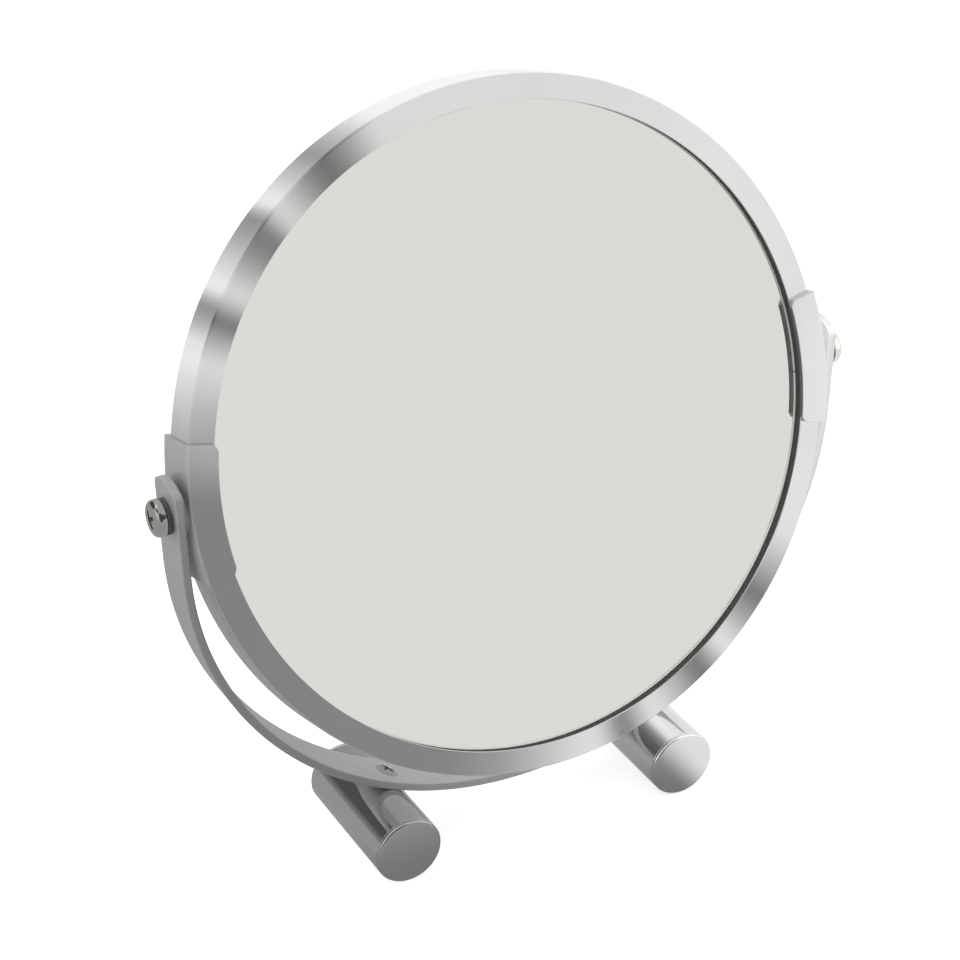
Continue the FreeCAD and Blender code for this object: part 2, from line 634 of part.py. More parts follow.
arc_len = 2 * ((zt - zl + (R2 - T / 2) * math.sin(LE)) / math.cos(LE) + (R2 - T / 2) * (abs(math.atan2(jz, jx)) - LE) + (R1 - T / 2) * (math.pi / 2 - abs(math.atan2(jz, jx))))
want = arc_len * T * D["bow_width"]
if abs(b.Shape.Volume - want) > 0.002 * want:
    raise RuntimeError("bow strip volume %.1f, expected %.1f (solve %r)" % (b.Shape.Volume, want, solved))
# both ends are rounded about the pivot axis
s = sketch(b, "bow_end_outline", "YZ_Plane")
yo, zo = D["bow_width"] / 2 + 1.0, D["bow_top"] + 1.0
D["bow_end_reach"], D["bow_end_low"] = yo, D["pivot_height"] + math.sqrt(D["bow_end"] ** 2 - yo ** 2)
sheet.set("A200", "bow_end_reach")
sheet.set("B200", "=bow_width / 2 + 1")
sheet.setAlias("B200", "bow_end_reach")
sheet.set("A201", "bow_end_low")
sheet.set("B201", "=pivot_height + sqrt(bow_end^2 - bow_end_reach^2)")
sheet.setAlias("B201", "bow_end_low")
doc.recompute()
zlow = D["bow_end_low"]
corners = [V(-yo, zlow, 0), V(-yo, zo, 0), V(yo, zo, 0), V(yo, zlow, 0)]
sides = [s.addGeometry(Part.LineSegment(corners[i], corners[i + 1]), False) for i in range(3)]
arch = s.addGeometry(Part.Arc(corners[3], V(0, D["bow_top"], 0), corners[0]), False)
for i in range(2):
    s.addConstraint(Sketcher.Constraint("Coincident", sides[i], 2, sides[i + 1], 1))
right_end = 1 if (s.getPoint(arch, 1) - corners[3]).Length < (s.getPoint(arch, 2) - corners[3]).Length else 2
s.addConstraint(Sketcher.Constraint("Coincident", sides[2], 2, arch, right_end))
s.addConstraint(Sketcher.Constraint("Coincident", sides[0], 1, arch, 3 - right_end))
pin(s, sides[0], 1, "-bow_end_reach", "bow_end_low")
pin(s, sides[1], 1, "-bow_end_reach", "bow_top + 1")
pin(s, sides[2], 1, "bow_end_reach", "bow_top + 1")
pin(s, sides[2], 2, "bow_end_reach", "bow_end_low")
c = s.addConstraint(Sketcher.Constraint("Radius", arch, D["bow_end"]))
s.setExpression("Constraints[%d]" % c, "dims.bow_end")
f = through(b, s, "bow_ends")


def end_corner(e):
    # short edges across the strip's thickness where an end meets a side
    if not isinstance(e.Curve, Part.Line) or abs(e.Length - T) > 0.01:
        return False
    p0, p1 = e.Vertexes[0].Point, e.Vertexes[-1].Point
    return abs(p0.x - p1.x) > 1.0 and abs(abs(p0.y) - D["bow_width"] / 2) < 1e-3 and p0.z > D["pivot_height"]


rounded(b, f, "bow_corner", end_corner, "bow_corners")
# pivot holes through both ends
s = sketch(b, "bow_pivot_outline", "YZ_Plane")
g = s.addGeometry(Part.Circle(V(0, D["pivot_height"], 0), V(0, 0, 1), D["pivot_hole"] / 2), False)
pin(s, g, 3, "0", "pivot_height")
c = s.addConstraint(Sketcher.Constraint("Radius", g, D["pivot_hole"] / 2))
s.setExpression("Constraints[%d]" % c, "dims.pivot_hole / 2")
through(b, s, "bow_pivot_holes")


def radial(sgn, dist):
    """Point on the line from the base arc's centre through a foot's axis."""
    a = math.radians(D["foot_lean"])
    return V(sgn * dist * math.sin(a), 0, D["bow_centre"] - dist * math.cos(a))


def radial_turn(sgn):
    """Turns +Z to point down and out along that line."""
    return FreeCAD.Rotation(V(0, 1, 0), 180.0 - sgn * D["foot_lean"])


cutters = []
face = D["bow_base_radius"] - D["bow_thick"]
for side, sgn in (("right", 1), ("left", -1)):
    h = doc.addObject("Part::Cylinder", "bow_foot_hole_" + side)
    h.Radius = D["foot_hole"] / 2
    h.setExpression("Radius", "dims.foot_hole / 2")
    h.Height = 6.0
    h.Placement = FreeCAD.Placement(radial(sgn, face - 2.0), radial_turn(sgn))
    k = doc.addObject("Part::Cone", "bow_sink_" + side)
    # a little taller than the sink, so that it opens clear of the face
    k.Radius1 = D["sink_radius"] + 0.3
    k.setExpression("Radius1", "dims.sink_radius + 0.3")
    k.Radius2 = D["foot_hole"] / 2
    k.setExpression("Radius2", "dims.foot_hole / 2")
    k.Height = D["sink_radius"] + 0.3 - D["foot_hole"] / 2
    k.setExpression("Height", "dims.sink_radius + 0.3 - dims.foot_hole / 2")
    k.Placement = FreeCAD.Placement(radial(sgn, face - 0.3), radial_turn(sgn))
    cutters += [h, k]
tools = doc.addObject("Part::MultiFuse", "bow_foot_tools")
tools.Shapes = cutters
doc.recompute()
bow = doc.addObject("Part::Cut", "bow")
bow.Base = b
bow.Tool = tools
doc.recompute()
node(bow, "bow")

# ------------------------------------------------------------ feet
for side, sgn in (("left", -1), ("right", 1)):
    fx, fz = sgn * D["foot_axis_x"], D["foot_axis_z"]
    sign = "" if sgn > 0 else "-"

    def along_y(obj, y_expr):
        obj.Placement = FreeCAD.Placement(V(fx, value(y_expr), fz), FreeCAD.Rotation(V(1, 0, 0), -90))
        obj.setExpression("Placement.Base.x", sign + "dims.foot_axis_x")
        obj.setExpression("Placement.Base.y", cells(y_expr))
        obj.setExpression("Placement.Base.z", "dims.foot_axis_z")

    # tube with a screw hole on top, seated against the bow
    tube_out = doc.addObject("Part::Cylinder", "tube_out_" + side)
    tube_in = doc.addObject("Part::Cylinder", "tube_in_" + side)
    tube_out.Radius = D["foot_radius"]
    tube_out.setExpression("Radius", "dims.foot_radius")
    tube_in.Radius = D["foot_radius"] - D["foot_wall"]
    tube_in.setExpression("Radius", "dims.foot_radius - dims.foot_wall")
    for t in (tube_out, tube_in):
        t.Height = D["foot_front"] + D["foot_rear"] - 2 * D["cap_thick"]
        t.setExpression("Height", "dims.foot_front + dims.foot_rear - 2 * dims.cap_thick")
        along_y(t, "-foot_front + cap_thick")
    hole = doc.addObject("Part::Cylinder", "tube_hole_" + side)
    hole.Radius = D["foot_hole"] / 2
    hole.setExpression("Radius", "dims.foot_hole / 2")
    hole.Height = 6.0
    hole.Placement = FreeCAD.Placement(radial(sgn, D["bow_base_radius"] - 3.0), radial_turn(sgn))
    away = doc.addObject("Part::MultiFuse", "tube_tools_" + side)
    away.Shapes = [tube_in, hole]
    bare = doc.addObject("Part::Cut", "tube_bare_" + side)
    bare.Base = tube_out
    bare.Tool = away
    doc.recompute()
    tube = doc.addObject("Part::Cut", "foot_tube_" + side)
    tube.Base = bare
    tube.Tool = bow
    doc.recompute()
    node(tube, "foot_tube_" + side)

    # tapped slug inside the tube, under the screw
    slug = doc.addObject("Part::Cylinder", "core_blank_" + side)
    slug.Radius = D["core_radius"]
    slug.setExpression("Radius", "dims.core_radius")
    slug.Height = 2 * D["core_half"]
    slug.setExpression("Height", "2 * dims.core_half")
    along_y(slug, "-core_half")
    tap = doc.addObject("Part::Cylinder", "core_tap_" + side)
    tap.Radius = D["footscrew_radius"] + 0.02
    tap.setExpression("Radius", "dims.footscrew_radius + 0.02")
    tap.Height = 24.0
    tap.Placement = FreeCAD.Placement(radial(sgn, D["bow_base_radius"] - 3.0), radial_turn(sgn))
    core = doc.addObject("Part::Cut", "foot_core_" + side)
    core.Base = slug
    core.Tool = tap
    doc.recompute()
    node(core, "foot_core_" + side)

    # end caps: a flange with a rounded rim and a plug, drawn along +Y
    for end in ("front", "rear"):
        name = "foot_cap_%s_%s" % (side, end)
        b = body(name)
        s = sketch(b, name + "_section", "XY_Plane")
        polygon(s, [
            ("0", "0"), ("foot_radius", "0"), ("foot_radius", "cap_thick"),
            ("plug_radius", "cap_thick"), ("plug_radius", "cap_thick + cap_plug - 0.5"),
            ("plug_radius - 0.5", "cap_thick + cap_plug"), ("0", "cap_thick + cap_plug")])
        r = revolve(b, s, "V_Axis")
        rounded(b, r, "cap_round", lambda e: circle_edge(e, D["foot_radius"], 0.0), name + "_rim")
        if end == "front":
            b.Placement = FreeCAD.Placement(V(fx, -D["foot_front"], fz), FreeCAD.Rotation(V(0, 0, 1), 0))
            b.setExpression("Placement.Base.y", "-dims.foot_front")
        else:
            b.Placement = FreeCAD.Placement(V(fx, D["foot_rear"], fz), FreeCAD.Rotation(V(0, 0, 1), 180))
            b.setExpression("Placement.Base.y", "dims.foot_rear")
        b.setExpression("Placement.Base.x", sign + "dims.foot_axis_x")
        b.setExpression("Placement.Base.z", "dims.foot_axis_z")
        node(b, name)

    # raised countersunk screw: cone, low dome, shank; drawn along +Z and
    # turned down the line to the foot's axis
    name = "foot_screw_" + side
    b = body(name)
    s = sketch(b, name + "_section", "XZ_Plane")
    pts = [("0", "footscrew_length"), ("footscrew_radius - 0.4", "footscrew_length"),
           ("footscrew_radius", "footscrew_length - 0.5"), ("footscrew_radius", "footscrew_cone"),
           ("footscrew_head", "0")]
    xy = [V(value(p), value(q), 0) for p, q in pts]
    for i in range(len(xy) - 1):
        s.addGeometry(Part.LineSegment(xy[i], xy[i + 1]), False)
    for i in range(len(xy) - 2):
        s.addConstraint(Sketcher.Constraint("Coincident", i, 2, i + 1, 1))
    for i in range(len(xy) - 1):
        pin(s, i, 1, *pts[i])
    pin(s, len(xy) - 2, 2, *pts[-1])
    rise = D["footscrew_dome"]
    ball = (D["footscrew_head"] ** 2 + rise ** 2) / (2 * rise)
    half_a = math.asin(D["footscrew_head"] / ball) / 2
    dome = s.addGeometry(Part.Arc(xy[-1], V(ball * math.sin(half_a), ball - rise - ball * math.cos(half_a), 0), V(0, -rise, 0)), False)
    near = 1 if (s.getPoint(dome, 1) - xy[-1]).Length < (s.getPoint(dome, 2) - xy[-1]).Length else 2
    s.addConstraint(Sketcher.Constraint("Coincident", dome, near, len(xy) - 2, 2))
    pin(s, dome, 3 - near, "0", "-footscrew_dome")
    s.addConstraint(Sketcher.Constraint("PointOnObject", dome, 3, -2))
    base = s.addGeometry(Part.LineSegment(V(0, -rise, 0), xy[0]), False)
    s.addConstraint(Sketcher.Constraint("Coincident", base, 1, dome, 3 - near))
    s.addConstraint(Sketcher.Constraint("Coincident", base, 2, 0, 1))
    revolve(b, s, "V_Axis")
    cross(b, name + "_recess", "XY_Plane", "-footscrew_dome", "footrecess_wing", "footrecess_width", "footrecess_depth", True)
    b.Placement = FreeCAD.Placement(radial(sgn, face + 0.05), radial_turn(sgn))
    node(b, name)

# ------------------------------------------------------------ write
doc.recompute()
for obj in doc.Objects:
    if "Invalid" in obj.State or "Error" in obj.State:
        raise RuntimeError("%s is in state %s" % (obj.Name, obj.State))
seen = set()
for name, obj in NODES:
    shape = obj.Shape
    if name in seen or obj.Label != name:
        raise RuntimeError("node name %s is not its own label" % name)
    seen.add(name)
    if shape.isNull() or not shape.isValid() or len(shape.Solids) != 1 or shape.Volume <= 0:
        raise RuntimeError("%s: null %s valid %s solids %d" % (name, shape.isNull(), shape.isValid(), len(shape.Solids)))
for name, obj in NODES:
    obj.Shape.exportStep("parts/%s.step" % name)
    bb = obj.Shape.BoundBox
    print("%-26s x %8.2f %8.2f  y %8.2f %8.2f  z %8.2f %8.2f  vol %9.1f" % (
        name, bb.XMin, bb.XMax, bb.YMin, bb.YMax, bb.ZMin, bb.ZMax, obj.Shape.Volume))
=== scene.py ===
import json
import math

import bpy
import bmesh
from mathutils import Matrix, Vector


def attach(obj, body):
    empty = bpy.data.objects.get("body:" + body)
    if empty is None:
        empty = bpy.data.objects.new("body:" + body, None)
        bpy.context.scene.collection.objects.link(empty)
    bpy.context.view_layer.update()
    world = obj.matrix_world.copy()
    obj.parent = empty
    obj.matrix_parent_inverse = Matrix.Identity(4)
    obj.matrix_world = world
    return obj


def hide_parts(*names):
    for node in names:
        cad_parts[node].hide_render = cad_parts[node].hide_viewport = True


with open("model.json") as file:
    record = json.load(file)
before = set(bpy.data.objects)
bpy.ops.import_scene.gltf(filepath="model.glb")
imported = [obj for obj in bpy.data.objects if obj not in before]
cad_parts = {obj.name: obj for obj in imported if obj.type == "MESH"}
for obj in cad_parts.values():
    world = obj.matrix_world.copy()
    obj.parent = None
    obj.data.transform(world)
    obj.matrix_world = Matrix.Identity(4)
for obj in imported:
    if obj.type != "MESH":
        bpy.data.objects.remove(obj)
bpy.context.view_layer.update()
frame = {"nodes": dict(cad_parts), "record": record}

# Two-sided table mirror. Metres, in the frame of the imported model.
# The head's pieces are modelled upright, about the pivot axis, and placed
# with HEAD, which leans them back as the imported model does.

nodes = frame["nodes"]
MM = 0.001

PIVOT_Z, TILT = 110.2, 15.0
HEAD = Matrix.Translation((0.0, 0.0, PIVOT_Z * MM)) @ Matrix.Rotation(math.radians(-TILT), 4, "X")
HEAD_LEFT = HEAD @ Matrix.Rotation(math.pi, 4, "Z")
STAND = Matrix.Identity(4)
CROWN = 0.12
PIECES = {}


# ------------------------------------------------------------------ mesh tools
def add_object(name, verts, faces, matrix, sharp=35.0):
    """A smooth-shaded mesh object; verts in millimetres, in its own frame."""
    me = bpy.data.meshes.new(name)
    me.from_pydata([(x * MM, y * MM, z * MM) for x, y, z in verts], [], faces)
    me.validate()
    bm = bmesh.new()
    bm.from_mesh(me)
    bmesh.ops.remove_doubles(bm, verts=bm.verts, dist=1e-7)
    bmesh.ops.recalc_face_normals(bm, faces=bm.faces)
    bm.to_mesh(me)
    bm.free()
    for p in me.polygons:
        p.use_smooth = True
    me.set_sharp_from_angle(angle=math.radians(sharp))
    ob = bpy.data.objects.new(name, me)
    bpy.context.scene.collection.objects.link(ob)
    ob.matrix_world = matrix
    return ob


def weighted(ob):
    m = ob.modifiers.new("even_normals", "WEIGHTED_NORMAL")
    m.mode = "FACE_AREA"
    m.weight = 100
    m.keep_sharp = True
    return ob


def bevelled(ob, width, segments=2, angle=40.0):
    m = ob.modifiers.new("edge_break", "BEVEL")
    m.width = width * MM
    m.segments = segments
    m.limit_method = "ANGLE"
    m.angle_limit = math.radians(angle)
    m.use_clamp_overlap = True
    m.harden_normals = False
    return ob


def settle(ob, matrix, body, node, mat):
    """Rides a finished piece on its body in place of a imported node."""
    ob.data.materials.clear()
    ob.data.materials.append(mat)
    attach(ob, body)
    if node:
        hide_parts(node)
    PIECES[ob.name] = ob
    return ob


def rounded_loop(points, seg=5):
    """Closed outline with arcs at its corners. points: (u, v, radius)."""
    out = []
    n = len(points)
    for i in range(n):
        u, v, rad = points[i]
        p = Vector((u, v))
        if rad <= 0.0:
            out.append((u, v))
            continue
        a = (Vector(points[i - 1][:2]) - p)
        b = (Vector(points[(i + 1) % n][:2]) - p)
        la, lb = a.length, b.length
        a.normalize()
        b.normalize()
        ang = math.acos(max(-1.0, min(1.0, a.dot(b))))
        t = min(rad / math.tan(ang / 2.0), 0.49 * la, 0.49 * lb)
        rad = t * math.tan(ang / 2.0)
        mid = (a + b).normalized()
        c = p + mid * (rad / math.sin(ang / 2.0))
        s, e = p + a * t - c, p + b * t - c
        a0 = math.atan2(s.y, s.x)
        da = math.atan2(e.y, e.x) - a0
        while da > math.pi:
            da -= 2 * math.pi
        while da < -math.pi:
            da += 2 * math.pi
        for k in range(seg + 1):
            t2 = a0 + da * k / seg
            out.append((c.x + rad * math.cos(t2), c.y + rad * math.sin(t2)))
    return out


def turned(name, loop, n, matrix, a0=0.0, a1=360.0, axis="Y", sharp=35.0):
    """Revolves a closed outline of (radius, height) about an axis."""
    full = abs((a1 - a0) - 360.0) < 1e-9
    rows = n if full else n + 1
    verts, faces = [], []
    m = len(loop)
    for i in range(rows):
        a = math.radians(a0 + (a1 - a0) * i / n)
        c, s = math.cos(a), math.sin(a)
        for r, h in loop:
            if axis == "Y":
                verts.append((r * c, h, r * s))
            elif axis == "X":
                verts.append((h, r * c, r * s))
            else:
                verts.append((r * c, r * s, h))
    for i in range(n):
        j = (i + 1) % rows
        for k in range(m):
            l = (k + 1) % m
            faces.append((i * m + k, i * m + l, j * m + l, j * m + k))
    if not full:
        faces.append(tuple(range(m)))
        faces.append(tuple(range(n * m, n * m + m))[::-1])
    return add_object(name, verts, faces, matrix, sharp)


def lathe(name, line, n, matrix, axis="Y", sharp=35.0):
    """Revolves an open line of (radius, height) that starts and ends on the axis."""
    verts, faces = [], []
    top, bottom = line[0], line[-1]
    mid = line[1:-1]
    m = len(mid)

    def put(r, h, a):
        c, s = math.cos(a), math.sin(a)
        return (r * c, h, r * s) if axis == "Y" else ((h, r * c, r * s) if axis == "X" else (r * c, r * s, h))

    for i in range(n):
        a = 2 * math.pi * i / n
        for r, h in mid:
            verts.append(put(r, h, a))
    first, last = len(verts), len(verts) + 1
    verts.append(put(0.0, top[1], 0.0))
    verts.append(put(0.0, bottom[1], 0.0))
    for i in range(n):
        j = (i + 1) % n
        faces.append((first, i * m, j * m))
        for k in range(m - 1):
            faces.append((i * m + k, i * m + k + 1, j * m + k + 1, j * m + k))
        faces.append((last, j * m + m - 1, i * m + m - 1))
    return add_object(name, verts, faces, matrix, sharp)


# ------------------------------------------------------------------ materials
def new_mat(name):
    mat = bpy.data.materials.new(name)
    mat.use_nodes = True
    nt = mat.node_tree
    for nd in list(nt.nodes):
        nt.nodes.remove(nd)
    out = nt.nodes.new("ShaderNodeOutputMaterial")
    bsdf = nt.nodes.new("ShaderNodeBsdfPrincipled")
    nt.links.new(bsdf.outputs["BSDF"], out.inputs["Surface"])
    return mat, nt, bsdf


def node(nt, kind, **kw):
    nd = nt.nodes.new(kind)
    for k, v in kw.items():
        setattr(nd, k, v)
    return nd


def noise(nt, vec, scale, detail=3.0, rough=0.5):
    nd = node(nt, "ShaderNodeTexNoise")
    nd.inputs["Scale"].default_value = scale
    nd.inputs["Detail"].default_value = detail
    nd.inputs["Roughness"].default_value = rough
    nt.links.new(vec, nd.inputs["Vector"])
    return nd.outputs["Fac"]


def spread(nt, fac, lo, hi, a=0.3, b=0.7):
    nd = node(nt, "ShaderNodeMapRange")
    nd.inputs["From Min"].default_value = a
    nd.inputs["From Max"].default_value = b
    nd.inputs["To Min"].default_value = lo
    nd.inputs["To Max"].default_value = hi
    nt.links.new(fac, nd.inputs["Value"])
    return nd.outputs["Result"]


def two_tone(nt, fac, lo, hi, a=0.35, b=0.65):
    nd = node(nt, "ShaderNodeValToRGB")
    nd.color_ramp.elements[0].position = a
    nd.color_ramp.elements[0].color = (*lo, 1.0)
    nd.color_ramp.elements[1].position = b
    nd.color_ramp.elements[1].color = (*hi, 1.0)
    nt.links.new(fac, nd.inputs["Fac"])
    return nd.outputs["Color"]


def bump(nt, height, strength, distance):
    nd = node(nt, "ShaderNodeBump")
    nd.inputs["Strength"].default_value = strength
    nd.inputs["Distance"].default_value = distance
    nt.links.new(height, nd.inputs["Height"])
    return nd.outputs["Normal"]


def obj_coord(nt):
    return node(nt, "ShaderNodeTexCoord").outputs["Object"]


def radial_coord(nt, axis="Y"):
    """(radius, height, 0) about an axis of the piece, for lines that run round it."""
    sep = node(nt, "ShaderNodeSeparateXYZ")
    nt.links.new(obj_coord(nt), sep.inputs[0])
    a, b, h = {"Y": ("X", "Z", "Y"), "X": ("Y", "Z", "X"), "Z": ("X", "Y", "Z")}[axis]
    flat = node(nt, "ShaderNodeCombineXYZ")
    nt.links.new(sep.outputs[a], flat.inputs[0])
    nt.links.new(sep.outputs[b], flat.inputs[1])
    ln = node(nt, "ShaderNodeVectorMath", operation="LENGTH")
    nt.links.new(flat.outputs[0], ln.inputs[0])
    comb = node(nt, "ShaderNodeCombineXYZ")
    nt.links.new(ln.outputs["Value"], comb.inputs[0])
    nt.links.new(sep.outputs[h], comb.inputs[1])
    return comb.outputs[0]


def spun_aluminium():
    """Rolled strip, satin, with fine lines round the ring and softly crowned lips."""
    mat, nt, b = new_mat("spun_aluminium")
    rc = radial_coord(nt)
    lines = noise(nt, rc, 9000.0, 2.0, 0.6)
    cloud = noise(nt, obj_coord(nt), 60.0, 3.0)
    nt.links.new(two_tone(nt, cloud, (0.885, 0.885, 0.89), (0.905, 0.905, 0.908)), b.inputs["Base Color"])
    b.inputs["Metallic"].default_value = 1.0
    nt.links.new(spread(nt, lines, 0.125, 0.155), b.inputs["Roughness"])
    b.inputs["Anisotropic"].default_value = 1.0
    b.inputs["Anisotropic Rotation"].default_value = 0.25
    tg = node(nt, "ShaderNodeTangent", direction_type="RADIAL", axis="Y")
    nt.links.new(tg.outputs["Tangent"], b.inputs["Tangent"])
    # crown: the lips' normals lean outwards, the web's stay as they are
    sep = node(nt, "ShaderNodeSeparateXYZ")
    nt.links.new(obj_coord(nt), sep.inputs[0])
    flat = node(nt, "ShaderNodeCombineXYZ")
    nt.links.new(sep.outputs["X"], flat.inputs[0])
    nt.links.new(sep.outputs["Z"], flat.inputs[2])
    turn = node(nt, "ShaderNodeVectorTransform", vector_type="NORMAL", convert_from="OBJECT", convert_to="WORLD")
    nt.links.new(flat.outputs[0], turn.inputs[0])
    out = node(nt, "ShaderNodeVectorMath", operation="NORMALIZE")
    nt.links.new(turn.outputs[0], out.inputs[0])
    geo = node(nt, "ShaderNodeNewGeometry")
    lean = node(nt, "ShaderNodeVectorMath", operation="MULTIPLY_ADD")
    nt.links.new(out.outputs[0], lean.inputs[0])
    lean.inputs[1].default_value = (CROWN, CROWN, CROWN)
    nt.links.new(geo.outputs["Normal"], lean.inputs[2])
    unit = node(nt, "ShaderNodeVectorMath", operation="NORMALIZE")
    nt.links.new(lean.outputs[0], unit.inputs[0])
    bm = node(nt, "ShaderNodeBump")
    bm.inputs["Strength"].default_value = 0.05
    bm.inputs["Distance"].default_value = 0.00004
    nt.links.new(lines, bm.inputs["Height"])
    nt.links.new(unit.outputs[0], bm.inputs["Normal"])
    nt.links.new(bm.outputs["Normal"], b.inputs["Normal"])
    return mat


def silver_lacquer(name, tone, painted_shade_radius=None):
    """Metallic lacquer: fine flake, a little unevenness, satin. Inside the
    radius given as the last argument, about Y, the flange's inner edge is
    painted a dark slate grey as shade."""
    mat, nt, b = new_mat(name)
    oc = obj_coord(nt)
    flake = noise(nt, oc, 7000.0, 1.0)
    cloud = noise(nt, oc, 90.0, 4.0)
    lo = tuple(tone * k for k in (0.955, 0.955, 0.96))
    hi = tuple(tone * k for k in (1.03, 1.03, 1.035))
    paint = two_tone(nt, flake, lo, hi, 0.3, 0.7)
    if painted_shade_radius:
        rad = node(nt, "ShaderNodeSeparateXYZ")
        nt.links.new(radial_coord(nt), rad.inputs[0])
        painted_shade_mask = spread(nt, rad.outputs["X"], 1.0, 0.0, painted_shade_radius * MM, (painted_shade_radius + 0.12) * MM)
        # painted shade: dark slate grey in place of the lacquer on the flange's inner edge, which the glass reflects
        edge = two_tone(nt, cloud, (0.14, 0.15, 0.165), (0.17, 0.18, 0.195))
        mix = node(nt, "ShaderNodeMix", data_type="RGBA")
        nt.links.new(painted_shade_mask, mix.inputs["Factor"])
        nt.links.new(paint, mix.inputs["A"])
        nt.links.new(edge, mix.inputs["B"])
        paint = mix.outputs["Result"]
    nt.links.new(paint, b.inputs["Base Color"])
    b.inputs["Metallic"].default_value = 0.4
    nt.links.new(spread(nt, cloud, 0.40, 0.48), b.inputs["Roughness"])
    peel = noise(nt, oc, 900.0, 2.0)
    nt.links.new(bump(nt, peel, 0.05, 0.00006), b.inputs["Normal"])
    return mat


def chrome(name, tone, rough_lo, rough_hi, wave=0.02):
    mat, nt, b = new_mat(name)
    oc = obj_coord(nt)
    cloud = noise(nt, oc, 140.0, 4.0)
    lo = tuple(t * 0.985 for t in tone)
    nt.links.new(two_tone(nt, cloud, lo, tone), b.inputs["Base Color"])
    b.inputs["Metallic"].default_value = 1.0
    nt.links.new(spread(nt, cloud, rough_lo, rough_hi), b.inputs["Roughness"])
    polish = noise(nt, oc, 260.0, 2.0)
    nt.links.new(bump(nt, polish, wave, 0.0001), b.inputs["Normal"])
    return mat


def nickel(name, axis, top, ball, reach):
    """Bright nickel, warm, with painted shade in the cross recess: dark,
    rougher metal below the dome of the head. top, ball and reach in millimetres."""
    mat, nt, b = new_mat(name)
    oc = obj_coord(nt)
    cloud = noise(nt, oc, 140.0, 4.0)
    bright = two_tone(nt, cloud, (0.785, 0.762, 0.735), (0.80, 0.778, 0.752))
    # painted shade: the dark brown tone that fills the cross recess
    recess_shade_tone = two_tone(nt, cloud, (0.15, 0.125, 0.11), (0.19, 0.16, 0.145))
    sep = node(nt, "ShaderNodeSeparateXYZ")
    nt.links.new(radial_coord(nt, axis), sep.inputs[0])
    r, h = sep.outputs["X"], sep.outputs["Y"]
    # height above a parabola that follows the dome
    sq = node(nt, "ShaderNodeMath", operation="MULTIPLY")
    nt.links.new(r, sq.inputs[0])
    nt.links.new(r, sq.inputs[1])
    rel = node(nt, "ShaderNodeMath", operation="MULTIPLY_ADD")
    nt.links.new(sq.outputs[0], rel.inputs[0])
    rel.inputs[1].default_value = 1.0 / (2.0 * ball * MM)
    nt.links.new(h, rel.inputs[2])
    # painted shade mask: deeper than about 0.12 to 0.34 mm below the dome, near the axis
    recess_shade_depth = spread(nt, rel.outputs[0], 1.0, 0.0, (top - 0.34) * MM, (top - 0.12) * MM)
    near = spread(nt, r, 1.0, 0.0, (reach - 0.1) * MM, reach * MM)
    both = node(nt, "ShaderNodeMath", operation="MULTIPLY")
    nt.links.new(recess_shade_depth, both.inputs[0])
    nt.links.new(near, both.inputs[1])
    mix = node(nt, "ShaderNodeMix", data_type="RGBA")
    nt.links.new(both.outputs[0], mix.inputs["Factor"])
    nt.links.new(bright, mix.inputs["A"])
    nt.links.new(recess_shade_tone, mix.inputs["B"])
    nt.links.new(mix.outputs["Result"], b.inputs["Base Color"])
    b.inputs["Metallic"].default_value = 1.0
    nt.links.new(spread(nt, both.outputs[0], 0.10, 0.40, 0.0, 1.0), b.inputs["Roughness"])
    polish = noise(nt, oc, 260.0, 2.0)
    nt.links.new(bump(nt, polish, 0.03, 0.0001), b.inputs["Normal"])
    return mat


def silvered_glass(name):
    mat, nt, b = new_mat(name)
    oc = obj_coord(nt)
    cloud = noise(nt, oc, 25.0, 3.0)
    nt.links.new(two_tone(nt, cloud, (0.838, 0.846, 0.806), (0.846, 0.853, 0.814)), b.inputs["Base Color"])
    b.inputs["Metallic"].default_value = 1.0
    dust = noise(nt, oc, 1500.0, 2.0)
    nt.links.new(spread(nt, dust, 0.0, 0.02, 0.55, 0.8), b.inputs["Roughness"])
    return mat


def dull(name, lo, hi, scale, rough_lo, rough_hi, grain=0.1, depth=0.0001):
    """Plastic, rubber, card and blackened steel."""
    mat, nt, b = new_mat(name)
    oc = obj_coord(nt)
    cloud = noise(nt, oc, scale, 4.0)
    nt.links.new(two_tone(nt, cloud, lo, hi), b.inputs["Base Color"])
    nt.links.new(spread(nt, cloud, rough_lo, rough_hi), b.inputs["Roughness"])
    fine = noise(nt, oc, scale * 12.0, 2.0)
    nt.links.new(bump(nt, fine, grain, depth), b.inputs["Normal"])
    return mat


